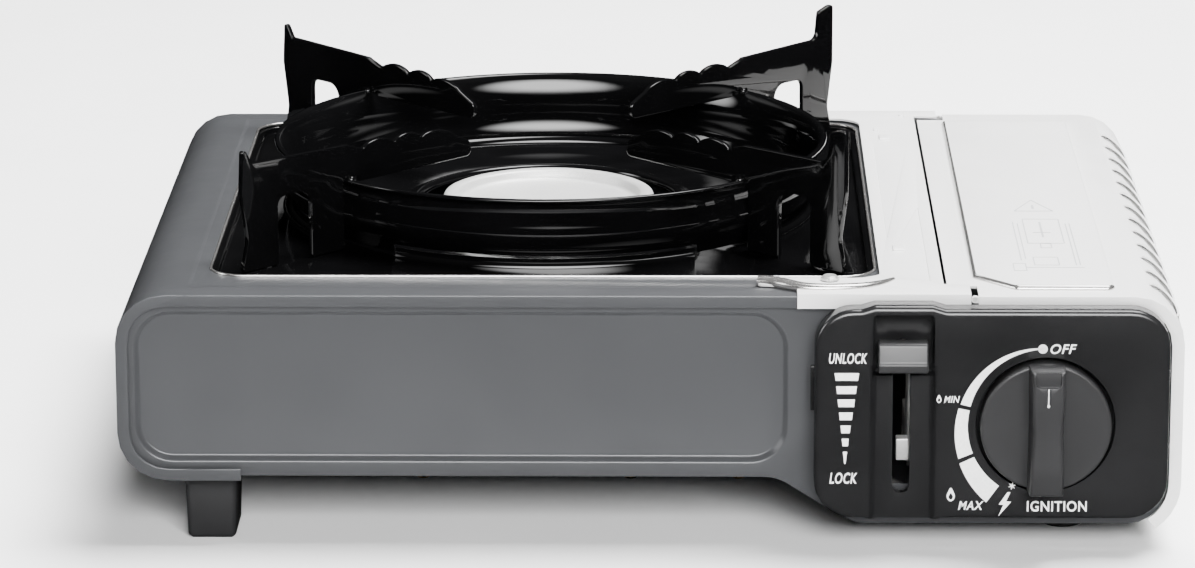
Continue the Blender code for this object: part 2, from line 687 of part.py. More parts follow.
def lid_ear(name, near):
    """Ear that reaches from the lid's folded edge to its hinge pin, with the pin's hole."""
    far = near + LID_EAR_DEPTH
    ear_r = LID_EAR_RADIUS
    outline = xz([
        (LID_AXIS_X - ear_r, -LID_AXIS_DROP - ear_r, ear_r * 0.99),
        (LID_FLANGE_LEFT + 4 * MM, -LID_AXIS_DROP - ear_r, 1 * MM),
        (LID_FLANGE_LEFT + 4 * MM, -SHEET / 2, 0),
        (LID_FLANGE_LEFT + 0.2 * MM, -SHEET / 2, 0),
        (LID_AXIS_X - ear_r, -LID_AXIS_DROP + ear_r, ear_r * 0.99)])
    ear = extruded(name, rounded(outline), "Y", FRONT + near, FRONT + far)
    hole = rod(name + "_hole", place(LID_AXIS_X, near - 2 * MM, -LID_AXIS_DROP),
               place(LID_AXIS_X, far + 2 * MM, -LID_AXIS_DROP),
               LID_PIN_RADIUS + PIN_CLEARANCE, sides=16)
    cut(ear, hole)
    return ear


# ---------------------------------------------------------------- burner well
def well_outline(grow, radius):
    """Outline of the burner well, grown all round."""
    return rounded(xy([
        (WELL_LEFT - grow, WELL_FRONT - grow, radius), (WELL_RIGHT + grow, WELL_FRONT - grow, radius),
        (WELL_RIGHT + grow, WELL_BACK + grow, radius), (WELL_LEFT - grow, WELL_BACK + grow, radius)]))


def make_drip_pan():
    flange_top = DECK_HEIGHT - SHEET - GAP
    floor = DECK_HEIGHT - PAN_FLOOR_DROP
    pan = extruded("drip_pan", well_outline(PAN_FLANGE, WELL_RADIUS + PAN_FLANGE), "Z",
                   flange_top - SHEET, flange_top, BLACK_ENAMEL)
    join(pan, extruded("pan_dish", well_outline(-PAN_WALL_INSET, WELL_RADIUS - PAN_WALL_INSET), "Z",
                       floor - SHEET, flange_top - SHEET / 2))
    inner = PAN_WALL_INSET + SHEET
    cut(pan, extruded("pan_press", well_outline(-inner, WELL_RADIUS - inner), "Z",
                      floor, DECK_HEIGHT + 5 * MM))
    cut(pan, rod("pan_hole", place(BURNER_X, BURNER_Y, -20 * MM), place(BURNER_X, BURNER_Y, 10 * MM),
                 PAN_HOLE_RADIUS, sides=48))
    cut(pan, rod("pan_screw_hole", place(CLIP_SCREW_X, CLIP_SCREW_Y, -9 * MM),
                 place(CLIP_SCREW_X, CLIP_SCREW_Y, 9 * MM), CLIP_SCREW_HOLE, sides=12))
    smooth(pan)


def make_burner():
    origin = place(BURNER_X, BURNER_Y, 0)
    rim = BURNER_RADIUS
    dish = BURNER_DISH_RADIUS
    cap = turned("burner_cap", [
        (0, -BURNER_DISH_DEPTH), (dish, -BURNER_DISH_DEPTH), (dish + 1 * MM, 0),
        (rim - 1.2 * MM, 0), (rim, -1.2 * MM), (rim, -3 * MM), (rim - PORT_SET_IN, -4 * MM),
        (rim - PORT_SET_IN, -BURNER_CAP_HEIGHT), (0, -BURNER_CAP_HEIGHT)], 48, origin, CAST_ALLOY)
    ports = bpy.data.meshes.new("ports")
    shape = bmesh.new()
    for index in range(BURNER_PORTS):
        made = bmesh.ops.create_cube(shape, size=1)["verts"]
        bmesh.ops.scale(shape, vec=(PORT_LENGTH, PORT_WIDTH, PORT_HEIGHT), verts=made)
        bmesh.ops.translate(shape, vec=(rim - PORT_SET_IN, 0, -PORT_DROP), verts=made)
        turn = Matrix.Rotation(2 * math.pi * (index + 0.5) / BURNER_PORTS, 4, "Z")
        bmesh.ops.transform(shape, matrix=turn, verts=made)
    shape.to_mesh(ports)
    shape.free()
    cut(cap, add("ports", ports, None, Matrix.Translation(origin)))

    neck = BURNER_NECK_RADIUS
    top = -BURNER_CAP_HEIGHT - GAP
    bowl_bottom = top - BURNER_BOWL_DEPTH
    wall = CASTING_WALL
    elbow = -TUBE_DROP - neck
    bowl = turned("burner_bowl", [
        (rim - 4 * MM - wall, top), (rim - 4 * MM, top), (rim - 5 * MM, top - 8 * MM),
        (neck, bowl_bottom), (neck, elbow + 3 * MM), (neck - 3 * MM, elbow), (0, elbow),
        (0, elbow + wall), (neck - 3 * MM, elbow + wall), (neck - wall, elbow + 3 * MM + wall / 2),
        (neck - wall, bowl_bottom), (rim - 5 * MM - wall, top - 8 * MM)], 36, origin, CAST_ALLOY)
    tube_r = MIXING_TUBE_RADIUS
    cut(bowl, rod("bowl_inlet", tube_point(0), tube_point(neck + 5 * MM), tube_r - 2 * MM))
    bore = tube_r - MIXING_TUBE_WALL
    turned("mixing_tube", [
        (tube_r * 1.25, 0), (tube_r, -16 * MM), (tube_r, -TUBE_LENGTH), (bore, -TUBE_LENGTH),
        (bore, 0)], 24, tube_point(neck + wall + TUBE_LENGTH), CAST_ALLOY, TUBE_DIRECTION)


def tube_point(distance):
    """Point on the mixing tube's axis, at a distance from the burner's."""
    return place(BURNER_X, BURNER_Y, -TUBE_DROP) + TUBE_DIRECTION * distance


def make_burner_mounting():
    base_top = TRAY_BOTTOM + SHEET
    elbow = -TUBE_DROP - BURNER_NECK_RADIUS
    foot_low = base_top + GAP
    seat = elbow - GAP
    foot_top = foot_low + HAT_SHEET
    near = HAT_HALF_WIDTH
    far = HAT_HALF_WIDTH + HAT_FLANGE
    hat = [Vector(point) for point in xz([
        (BURNER_X + far, foot_top), (BURNER_X + near, foot_top), (BURNER_X + near, seat),
        (BURNER_X - near, seat), (BURNER_X - near, foot_top), (BURNER_X - far, foot_top)])]
    middle = FRONT + BURNER_Y
    extruded("burner_bracket", band(hat, 0, HAT_SHEET), "Y", middle - HAT_DEPTH / 2,
             middle + HAT_DEPTH / 2, PLATED_STEEL)

    nozzle_start = BURNER_NECK_RADIUS + CASTING_WALL + TUBE_LENGTH + 1 * MM
    nozzle_end = nozzle_start + NOZZLE_LENGTH
    rod("gas_nozzle", tube_point(nozzle_start), tube_point(nozzle_end), NOZZLE_TIP_RADIUS, BRASS,
        12, NOZZLE_END_RADIUS)
    start = tube_point(nozzle_end + 2 * GAP)
    valve_side = place(KNOB_X - VALVE_RADIUS - 3 * MM - GAP, VALVE_BACK - 8 * MM, -30 * MM)
    route = smooth_route([
        start, tube_point(nozzle_end + 4 * MM) + Vector((0, 0, 0.5 * MM)),
        place(SHIELD_X - 3 * MM, VALVE_BACK - 3 * MM, -32 * MM),
        valve_side - Vector((7 * MM, 0, 0)), valve_side], 4)
    tube("gas_pipe", route, PIPE_RADIUS, BRASS, 3)


# ---------------------------------------------------------------- pan support
def make_pan_support():
    centre = place(BURNER_X + 0.8 * MM, BURNER_Y, 0)
    outer = RING_RADIUS
    top = RING_TOP
    lip = RING_LIP
    wall = RING_WALL
    foot = ARM_FOOT
    outside = [(outer, top), (outer, top - wall), (outer - lip, top - wall - 1 * MM),
               (outer - lip - 1.2 * MM, top - 8 * MM), (outer - lip - 2.4 * MM, 4 * MM),
               (outer - lip - 5 * MM, foot)]
    inside = [(radius - wall, height) for radius, height in outside[2:]][::-1]
    ring = turned("support_ring", outside + inside + [(outer - lip - wall, top)], 60, centre,
                  BLACK_ENAMEL)
    half = ARCH_WIDTH / 2
    reach = outer + 10 * MM
    cut(ring, boxes("arches", (
        (centre + Vector((-half, -reach, -10 * MM)), centre + Vector((half, reach, ARCH_TOP))),)))
    cut(ring, boxes("side_arches", (
        (centre + Vector((-reach, -half, -10 * MM)), centre + Vector((reach, half, ARCH_TOP))),)))
    for index, name in enumerate(("back_right", "back_left", "front_left", "front_right")):
        guard = name.endswith("right")
        arm = extruded("support_arm_" + name, rounded(arm_outline(guard), 3), "Y",
                       -ARM_THICKNESS / 2, ARM_THICKNESS / 2, BLACK_ENAMEL)
        turn = Matrix.Rotation(math.radians(45 + 90 * index), 4, "Z")
        arm.matrix_world = Matrix.Translation(centre) @ turn @ arm.matrix_world


def arm_outline(guard):
    """Side view of one support arm as (reach, height, radius), with its foot on the pan."""
    reach = ARM_REACH
    top = ARM_TOP
    foot = ARM_FOOT
    lip_clear = RING_RADIUS + GAP + 0.4 * MM
    over_lip = RING_TOP + GAP
    inner = ARM_WINDOW_INNER
    outer = ARM_WINDOW_OUTER
    finger_start = RING_RADIUS - RING_LIP - RING_WALL - 2 * MM
    outline = [
        (lip_clear, foot, 1 * MM), (inner, foot, 1 * MM), (inner, ARM_WINDOW_TOP, 5 * MM),
        (outer, ARM_WINDOW_TOP, 3 * MM), (outer, foot, 1 * MM), (reach, foot, 1 * MM),
        (reach - 2.6 * MM, 8 * MM, 8 * MM), (reach, 24 * MM, 6 * MM)]
    if guard:
        outline += [(reach, GUARD_TOP, 1.5 * MM), (reach - 6.7 * MM, GUARD_TOP, 1.5 * MM),
                    (reach - 8.8 * MM, top, 3 * MM)]
    else:
        outline += [(reach - 1.2 * MM, top + 4.2 * MM, 1 * MM), (reach - 5 * MM, top, 1 * MM)]
    outline += [
        (93 * MM, top - 0.9 * MM, 1 * MM), (86.5 * MM, top - 3.3 * MM, 1 * MM),
        (78.5 * MM, top - 1 * MM, 4 * MM), (72 * MM, top - 3.4 * MM, 1 * MM),
        (66 * MM, top - 1.3 * MM, 4 * MM), (60 * MM, top - 3.7 * MM, 1 * MM),
        (53 * MM, top - 1.8 * MM, 4 * MM), (43.3 * MM, top - 5.7 * MM, 4 * MM),
        (37.8 * MM, 25 * MM, 1 * MM), (37.6 * MM, 19.4 * MM, 2 * MM),
        (finger_start, ARM_FINGER, 0), (finger_start, over_lip, 0),
        (lip_clear, over_lip, 0)]
    return outline


# ---------------------------------------------------------------- control panel
def fascia_outline(inset):
    r = FASCIA_RADIUS - inset
    return rounded(xz([
        (FASCIA_LEFT + inset, FASCIA_BOTTOM + inset, r),
        (FASCIA_RIGHT - inset, FASCIA_BOTTOM + inset, r),
        (FASCIA_RIGHT - inset, FASCIA_TOP - inset, r),
        (FASCIA_LEFT + inset, FASCIA_TOP - inset, r)]))


def make_fascia():
    front = FRONT - FASCIA_PROUD
    rim_back = FRONT - GAP - SHEET - GAP
    skirt_back = FRONT + PANEL_SET_BACK - GAP
    wall = FASCIA_WALL
    fascia = extruded("fascia", fascia_outline(0), "Y", front, rim_back, BLACK_PLASTIC)
    edge = fascia.modifiers.new("rounded_edges", "BEVEL")
    edge.width = 1.8 * MM
    edge.segments = 2
    edge.limit_method = "ANGLE"
    join(fascia, extruded("fascia_skirt", fascia_outline(SKIRT_INSET), "Y",
                          rim_back - 1 * MM, skirt_back))
    cut(fascia, extruded("fascia_hollow", fascia_outline(SKIRT_INSET + wall), "Y",
                         front + wall, skirt_back + 5 * MM))
    recess_depth = 5 * MM
    recess_r = KNOB_RADIUS + KNOB_CLEARANCE
    join(fascia, rod("recess_boss", place(KNOB_X, -FASCIA_PROUD + 1 * MM, KNOB_Z),
                     place(KNOB_X, -FASCIA_PROUD + recess_depth + wall, KNOB_Z), recess_r + wall,
                     sides=48))
    cut(fascia, rod("recess", place(KNOB_X, -FASCIA_PROUD - 5 * MM, KNOB_Z),
                    place(KNOB_X, -FASCIA_PROUD + recess_depth, KNOB_Z), recess_r, sides=48))
    cut(fascia, rod("stem_hole", place(KNOB_X, -FASCIA_PROUD, KNOB_Z),
                    place(KNOB_X, 5 * MM, KNOB_Z), STEM_RADIUS + 2.5 * MM, sides=20))
    margin = CHANNEL_MARGIN
    channel_top = LEVER_TOP + 3 * MM
    channel_bottom = LEVER_TOP - LEVER_HEIGHT - LEVER_TRAVEL - 5 * MM
    floor = -FASCIA_PROUD + CHANNEL_DEPTH
    join(fascia, box("channel_boss", place(LEVER_LEFT - margin - wall, -FASCIA_PROUD + 1 * MM,
                                           channel_bottom - wall),
                     place(LEVER_RIGHT + margin + wall, floor + 1.5 * MM, channel_top + wall)))
    cut(fascia, box("channel", place(LEVER_LEFT - margin, -FASCIA_PROUD - 5 * MM, channel_bottom),
                    place(LEVER_RIGHT + margin, floor, channel_top)))
    slot_top = LOCK_PIN_Z + 4 * MM
    slot_bottom = LOCK_PIN_Z - LEVER_TRAVEL - 4 * MM
    cut(fascia, box("slot", place(SLOT_LEFT, -FASCIA_PROUD, slot_bottom),
                    place(SLOT_RIGHT, 5 * MM, slot_top)))
    smooth(fascia)


def make_knob():
    origin = place(KNOB_X, 0, KNOB_Z)
    r = KNOB_RADIUS
    disc = KNOB_DISC_PROUD
    back = FASCIA_PROUD - 4.6 * MM
    knob = turned("knob", [
        (0, disc), (r - 1.5 * MM, disc), (r, disc - 1.5 * MM), (r, back), (0, back)], 48,
        origin, BLACK_PLASTIC, (0, -1, 0))
    bar = KNOB_BAR / 2
    bar_box = box("grip_bar", origin + Vector((-bar, -KNOB_PROUD, -r + 0.3 * MM)),
                  origin + Vector((bar, -disc + 1 * MM, r - 0.3 * MM)), bevel=1.5 * MM)
    join(knob, bar_box)
    bore = rod("knob_bore", origin + Vector((0, -disc + 2 * MM, 0)),
               origin + Vector((0, 5 * MM, 0)), STEM_RADIUS + 0.1 * MM, sides=16)
    cut(knob, bore)
    rod("valve_stem", origin + Vector((0, -disc + 2.3 * MM, 0)),
        origin + Vector((0, VALVE_FRONT - GAP, 0)), STEM_RADIUS, BRASS, 16)
    cam = rod("igniter_cam", origin + Vector((0, CAM_FRONT, 0)),
              origin + Vector((0, CAM_FRONT + CAM_THICKNESS, 0)), CAM_RADIUS, BLACK_PLASTIC, 24)
    half = CAM_ARM_WIDTH / 2
    arm = box("cam_arm", (-half, 0, 0), (half, CAM_THICKNESS - 0.2 * MM, CAM_ARM))
    turn = Matrix.Rotation(-CAM_REST_ANGLE, 4, "Y")
    arm.matrix_world = (Matrix.Translation(origin + Vector((0, CAM_FRONT + 0.1 * MM, 0))) @ turn
                        @ arm.matrix_world)
    join(cam, arm)
    cut(cam, rod("cam_bore", origin, origin + Vector((0, 20 * MM, 0)), STEM_RADIUS + 0.1 * MM,
                 sides=16))


def make_lever():
    floor = -FASCIA_PROUD + CHANNEL_DEPTH
    middle = (LEVER_LEFT + LEVER_RIGHT) / 2
    thumb = box("lever_thumb", place(LEVER_LEFT, -LEVER_PROUD, LEVER_TOP - LEVER_HEIGHT),
                place(LEVER_RIGHT, floor - GAP, LEVER_TOP), BLACK_PLASTIC, 1 * MM)
    half = (SLOT_RIGHT - SLOT_LEFT) / 2 - 0.8 * MM
    shank_back = LOCK_PIN_Y - 8 * MM
    join(thumb, box("lever_shank", place(middle - half, floor - 2 * MM, LOCK_PIN_Z - 2.5 * MM),
                    place(middle + half, shank_back, LOCK_PIN_Z + 2.5 * MM)))
    plate_x = middle + 0.2 * MM
    plate = box("lever_plate", place(plate_x - 0.6 * MM, shank_back + GAP, LOCK_PIN_Z - 4 * MM),
                place(plate_x + 0.6 * MM, LOCK_PIN_Y + 4 * MM, LOCK_PIN_Z + 4 * MM), PLATED_STEEL)
    join(plate, rod("lock_pin", place(plate_x, LOCK_PIN_Y, LOCK_PIN_Z),
                    place(plate_x + 7.5 * MM, LOCK_PIN_Y, LOCK_PIN_Z), LOCK_PIN_RADIUS, sides=16))
    smooth(plate)


# ---------------------------------------------------------------- gas valve and bay
def make_gas_valve():
    origin = place(KNOB_X, 0, KNOB_Z)
    r = VALVE_RADIUS
    valve = rod("gas_valve", origin + Vector((0, VALVE_FRONT, 0)), origin + Vector((0, VALVE_BACK, 0)),
                r, CAST_ALLOY, 36)
    boss_y = FRONT + VALVE_BACK - 8 * MM
    boss_z = DECK_HEIGHT - 30 * MM
    join(valve, rod("outlet_boss", (LEFT + KNOB_X - r - 3 * MM, boss_y, boss_z),
                    (LEFT + KNOB_X - 4 * MM, boss_y, boss_z), 4.5 * MM, sides=16))
    cut(valve, rod("inlet_bore", origin + Vector((0, VALVE_BACK - 4 * MM, 0)),
                   origin + Vector((0, VALVE_BACK + 5 * MM, 0)), 4 * MM, sides=16))
    smooth(valve)
    seal_back = VALVE_BACK + GAP + SEAL_HEIGHT
    turned("cartridge_seal", [
        (4 * MM, -VALVE_BACK - GAP), (SEAL_RADIUS, -VALVE_BACK - GAP),
        (SEAL_RADIUS, -seal_back), (4 * MM, -seal_back)], 24, origin, RUBBER, (0, -1, 0))

    bracket_back = VALVE_FRONT - GAP
    bracket_front = bracket_back - BRACKET_THICKNESS
    base_top = BAY_BOTTOM + SHEET
    outline = rounded(xz([
        (KNOB_X - 21 * MM, base_top + GAP, 0), (KNOB_X + 21 * MM, base_top + GAP, 0),
        (KNOB_X + 21 * MM, KNOB_Z + 20 * MM, 6 * MM), (KNOB_X - 21 * MM, KNOB_Z + 20 * MM, 6 * MM)]))
    bracket = extruded("valve_bracket", outline, "Y", FRONT + bracket_front, FRONT + bracket_back,
                       PLATED_STEEL)
    join(bracket, box("valve_bracket_foot",
                      place(KNOB_X - 20 * MM, bracket_front + 0.2 * MM, base_top + GAP),
                      place(KNOB_X + 20 * MM, bracket_front + 22 * MM,
                            base_top + GAP + BRACKET_THICKNESS)))
    cut(bracket, rod("bracket_hole", origin, origin + Vector((0, 30 * MM, 0)), STEM_RADIUS + 1 * MM,
                     sides=20))


def make_heat_shield():
    low = BAY_BOTTOM + SHEET + GAP
    high = -SHEET - GAP
    near = PANEL_SET_BACK + SHEET + GAP
    far = BODY_DEPTH - PANEL_SET_BACK - SHEET - GAP
    path = [Vector(p[:2]) for p in xz([
        (SHIELD_X + 6 * MM, low), (SHIELD_X, low), (SHIELD_X, high - SHEET),
        (SHIELD_X - 9 * MM, high - SHEET)])]
    shield = extruded("heat_shield", band(path, 0, -SHEET), "Y", FRONT + near, FRONT + far, PLATED_STEEL)
    window = (place(SHIELD_X - 3 * MM, VALVE_BACK - 19 * MM, -68 * MM),
              place(SHIELD_X + 3 * MM, CARRIAGE_Y + 8 * MM, -12 * MM))
    cut(shield, boxes("shield_window", (window,)))
    wire_window = (place(SHIELD_X - 3 * MM, near + 4 * MM, -73 * MM),
                   place(SHIELD_X + 3 * MM, near + 14 * MM, -65 * MM))
    cut(shield, boxes("wire_window", (wire_window,)))
    notch = (place(SHIELD_X - 12 * MM, near - 2 * MM, -3 * MM),
             place(SHIELD_X - 2 * MM, VALVE_BACK, 2 * MM))
    cut(shield, boxes("shield_notch", (notch,)))


def make_carriage():
    """Carriage with a cam plate for the lever and a fork that pulls the cartridge's collar."""
    middle = (LEVER_LEFT + LEVER_RIGHT) / 2
    cam_low_x = middle + 2.6 * MM
    cam_high_x = cam_low_x + 1.2 * MM
    y = LOCK_PIN_Y
    z = LOCK_PIN_Z
    half = 6 * MM
    outline = rounded(yz([
        (y - half, z - LEVER_TRAVEL - 6 * MM, 2 * MM),
        (y + CARRIAGE_TRAVEL + half, z - LEVER_TRAVEL - 6 * MM, 2 * MM),
        (y + CARRIAGE_TRAVEL + half, z + 6 * MM, 2 * MM), (y - half, z + 6 * MM, 2 * MM)]), 2)
    carriage = extruded("cartridge_carriage", outline, "X", LEFT + cam_low_x, LEFT + cam_high_x,
                        PLATED_STEEL)
    clear = LOCK_PIN_RADIUS + 0.3 * MM
    start = Vector((y, z))
    end = Vector((y + CARRIAGE_TRAVEL, z - LEVER_TRAVEL))
    along = (end - start).normalized()
    heading = math.atan2(along.y, along.x)
    ends = arc(end.x, end.y, clear, heading - math.pi / 2, heading + math.pi / 2, 6)
    ends += arc(start.x, start.y, clear, heading + math.pi / 2, heading + math.pi * 1.5, 6)
    slot = extruded("cam_slot", yz(ends), "X", LEFT + cam_low_x - 2 * MM, LEFT + cam_high_x + 2 * MM)
    cut(carriage, slot)
    arm_low = -58 * MM
    arm_high = -50 * MM
    fork_y = CARRIAGE_Y
    join(carriage, box("carriage_arm", place(cam_low_x, y + CARRIAGE_TRAVEL + half - 1 * MM, arm_low),
                       place(cam_high_x, fork_y + 1.4 * MM, arm_high)))
    fork = rounded(xz([
        (cam_low_x, arm_low - 8 * MM, 2 * MM), (KNOB_X + 22 * MM, arm_low - 8 * MM, 4 * MM),
        (KNOB_X + 22 * MM, KNOB_Z + 12 * MM, 3 * MM), (SHIELD_X + 6 * MM, KNOB_Z + 12 * MM, 3 * MM),
        (SHIELD_X + 6 * MM, arm_high, 2 * MM), (cam_low_x, arm_high, 0)]), 3)
    fork_plate = extruded("fork_plate", fork, "Y", FRONT + fork_y, FRONT + fork_y + 1.2 * MM)
    notch_r = CARRIAGE_NOTCH_RADIUS
    cut(fork_plate, rod("fork_notch", place(KNOB_X, fork_y - 3 * MM, KNOB_Z),
                        place(KNOB_X, fork_y + 4 * MM, KNOB_Z), notch_r, sides=32))
    cut(fork_plate, boxes("fork_mouth", (
        (place(KNOB_X - notch_r, fork_y - 3 * MM, KNOB_Z),
         place(KNOB_X + notch_r, fork_y + 4 * MM, KNOB_Z + 30 * MM)),)))
    join(carriage, fork_plate)


def make_cradle():
    """Curved rests that carry the cartridge in its bay, joined by a floor strip."""
    base_top = BAY_BOTTOM + SHEET + GAP
    near = CARRIAGE_Y + 14 * MM
    far = BODY_DEPTH - PANEL_SET_BACK - SHEET - 6 * MM
    low_x = KNOB_X - 24 * MM
    high_x = KNOB_X + 24 * MM
    strip = box("cartridge_cradle", place(low_x, near, base_top), place(high_x, far, base_top + 1 * MM),
                PLATED_STEEL)
    rest_r = CRADLE_RADIUS
    for index, y in enumerate((near + 2 * MM, far - 30 * MM)):
        rest = box("rest_%d" % index, place(low_x, y, base_top + 0.5 * MM),
                   place(high_x, y + 3 * MM, KNOB_Z - 20 * MM))
        cut(rest, rod("rest_cut_%d" % index, place(KNOB_X, y - 3 * MM, KNOB_Z),
                      place(KNOB_X, y + 6 * MM, KNOB_Z), rest_r, sides=64))
        join(strip, rest)
    stop_y = far - 1.2 * MM
    join(strip, box("back_stop", place(low_x + 10 * MM, stop_y, base_top + 0.5 * MM),
                    place(high_x - 10 * MM, far, KNOB_Z)))


def make_igniter():
    y = CAM_FRONT + CAM_THICKNESS / 2
    z = KNOB_Z - CAM_ARM + 2.5 * MM
    tip_x = KNOB_X + 2 * MM + GAP
    body_x = tip_x + PLUNGER_LENGTH
    body = box("igniter_body", place(body_x, y - 4.5 * MM, z - 5.5 * MM),
               place(body_x + IGNITER_LENGTH, y + 4.5 * MM, z + 5.5 * MM), BLACK_PLASTIC, 1 * MM)
    bore = rod("igniter_bore", place(body_x - 2 * MM, y, z),
               place(body_x + PLUNGER_TRAVEL + 8.5 * MM, y, z), 2.5 * MM + PIN_CLEARANCE, sides=16)
    cut(body, bore)
    plunger = rod("igniter_plunger", place(tip_x, y, z), place(body_x + 8 * MM, y, z),
                  2.5 * MM, CERAMIC, 16)
    smooth(plunger)
    wire_start = place(body_x + IGNITER_LENGTH - 6 * MM, y, z - 5.5 * MM - 2 * GAP)
    spot = electrode_place()
    near = PANEL_SET_BACK + SHEET + GAP
    route = smooth_route([
        wire_start, wire_start + Vector((0, 0, -3.5 * MM)),
        place(body_x + 6 * MM, y, -69 * MM), place(SHIELD_X + 12 * MM, near + 9 * MM, -69 * MM),
        place(SHIELD_X, near + 9 * MM, -69 * MM), place(SHIELD_X - 12 * MM, near + 12 * MM, -66 * MM),
        place(STEP_LEFT + 14 * MM, 38 * MM, -54 * MM), place(STEP_LEFT - 20 * MM, 66 * MM, -52 * MM),
        spot + Vector((12 * MM, -13 * MM, -52 * MM)), spot + Vector((-1 * MM, -7 * MM, -49 * MM)),
        spot + Vector((0, 0, -41 * MM)), spot + Vector((0, 0, -33 * MM))], 4)
    tube("ignition_wire", route, WIRE_RADIUS, WIRE_COVER, 2)


def electrode_place():
    """Point level with the deck, on the electrode's axis."""
    return place(BURNER_X + ELECTRODE_REACH * math.cos(ELECTRODE_ANGLE),
                 BURNER_Y + ELECTRODE_REACH * math.sin(ELECTRODE_ANGLE), 0)


def make_electrode():
    spot = electrode_place()
    turned("electrode_insulator", [
        (0.9 * MM, -3 * MM), (INSULATOR_RADIUS - 0.4 * MM, -3 * MM), (INSULATOR_RADIUS, -4 * MM),
        (INSULATOR_RADIUS, -32 * MM), (0.9 * MM, -32 * MM)], 16, spot, CERAMIC)
    inward = Vector((-math.cos(ELECTRODE_ANGLE), -math.sin(ELECTRODE_ANGLE), 0))
    tube("electrode_pin", [spot + Vector((0, 0, -32 * MM)), spot + Vector((0, 0, -2 * MM)),
                           spot + Vector((0, 0, -1 * MM)), spot + inward * 1 * MM,
                           spot + inward * 3 * MM + Vector((0, 0, 0.4 * MM))], 0.6 * MM, PLATED_STEEL)
    low = spot + Vector((-4 * MM, -4 * MM, -22 * MM))
    high = spot + Vector((4 * MM, 4 * MM, -20.8 * MM))
    bracket = box("electrode_bracket", low, high, PLATED_STEEL)
    base_top = DECK_HEIGHT + TRAY_BOTTOM + SHEET + GAP
    leg_x = spot.x + 3.4 * MM
    join(bracket, box("electrode_bracket_leg", (leg_x - 0.6 * MM, spot.y - 4 * MM, base_top),
                      (leg_x + 0.6 * MM, spot.y + 4 * MM, spot.z - 21 * MM)))
    join(bracket, box("electrode_bracket_foot", (leg_x - 0.4 * MM, spot.y - 4 * MM, base_top),
                      (leg_x + 9 * MM, spot.y + 4 * MM, base_top + 1.2 * MM)))
    cut(bracket, rod("insulator_hole", spot + Vector((0, 0, -30 * MM)), spot + Vector((0, 0, -15 * MM)),
                     INSULATOR_RADIUS + 0.2 * MM, sides=16))


# ---------------------------------------------------------------- feet and screws
def make_feet():
    for name, y in (("leg_front", LEG_SET_BACK),
                    ("leg_back", BODY_DEPTH - LEG_SET_BACK - LEG_DEPTH)):
        low = (LEFT + LEG_LEFT, FRONT + y, 0)
        high = (LEFT + LEG_LEFT + LEG_WIDTH, FRONT + y + LEG_DEPTH, DECK_HEIGHT + CASE_BOTTOM - GAP)
        leg = box(name, low, high, BLACK_PLASTIC)
        shape = bmesh.new()
        shape.from_mesh(leg.data)
        for vertex in shape.verts:
            if vertex.co.z < 0:
                vertex.co.x *= LEG_TAPER
                vertex.co.y *= LEG_TAPER
        shape.to_mesh(leg.data)
        shape.free()
        edge = leg.modifiers.new("rounded_edges", "BEVEL")
        edge.width = LEG_ROUNDING
        edge.segments = 2
    x = LEFT + FOOT_X
    seat = DECK_HEIGHT + BAY_BOTTOM - GAP
    for name, near in (("foot_front", FOOT_SET_BACK), ("foot_back", BODY_DEPTH - FOOT_SET_BACK)):
        y = FRONT + near
        rod(name, (x, y, 0), (x, y, seat), FOOT_RADIUS - 1 * MM, RUBBER, 24, FOOT_RADIUS)


def make_screws():
    for index, x in enumerate(BASE_SCREW_PLACES):
        top = TRAY_BOTTOM - GAP
        r = SCREW_HEAD_RADIUS
        turned("base_screw_%d" % (index + 1), [
            (0, top), (r, top), (r, top - 1 * MM), (r * 0.6, top - SCREW_HEAD_HEIGHT),
            (0, top - SCREW_HEAD_HEIGHT)], 16, place(x, SCREW_SET_BACK, 0), BRASS)
    top = GAP + SHEET + GAP
    turned("clip_screw", [
        (0, top + 1.6 * MM), (2 * MM, top + 1.4 * MM), (3 * MM, top + 0.6 * MM), (3 * MM, top),
        (1.4 * MM, top), (1.4 * MM, -6 * MM), (0, -6 * MM)], 16,
        place(CLIP_SCREW_X, CLIP_SCREW_Y, 0), PLATED_STEEL)


make_body_shell()
make_base_tray()
make_bridge_plate()
make_lid()
make_drip_pan()
make_burner()
make_burner_mounting()
make_pan_support()
make_fascia()
make_knob()
make_lever()
make_gas_valve()
make_heat_shield()
make_carriage()
make_cradle()
make_igniter()
make_electrode()
make_feet()
make_screws()
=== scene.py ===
"""Finished look of the camping stove: folded sheets, enamel, castings, controls and the studio."""

import math

import bmesh
import bpy
from mathutils import Matrix, Vector


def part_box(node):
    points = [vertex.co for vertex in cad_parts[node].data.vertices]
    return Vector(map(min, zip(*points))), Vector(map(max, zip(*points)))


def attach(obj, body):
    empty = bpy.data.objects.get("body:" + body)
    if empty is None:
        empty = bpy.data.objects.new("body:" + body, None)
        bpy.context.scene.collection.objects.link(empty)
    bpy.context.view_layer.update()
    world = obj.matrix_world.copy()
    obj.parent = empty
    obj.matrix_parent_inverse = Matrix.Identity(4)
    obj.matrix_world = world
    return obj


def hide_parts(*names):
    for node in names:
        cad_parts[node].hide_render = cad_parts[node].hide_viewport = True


bl_info = {
    "name": "Camping Stove Finish",
    "version": (1, 0, 0),
    "blender": (4, 5, 0),
    "location": "View3D > Sidebar > Stove",
    "description": "Models the visible pieces of a gas camping stove around its frame",
    "category": "Object",
}

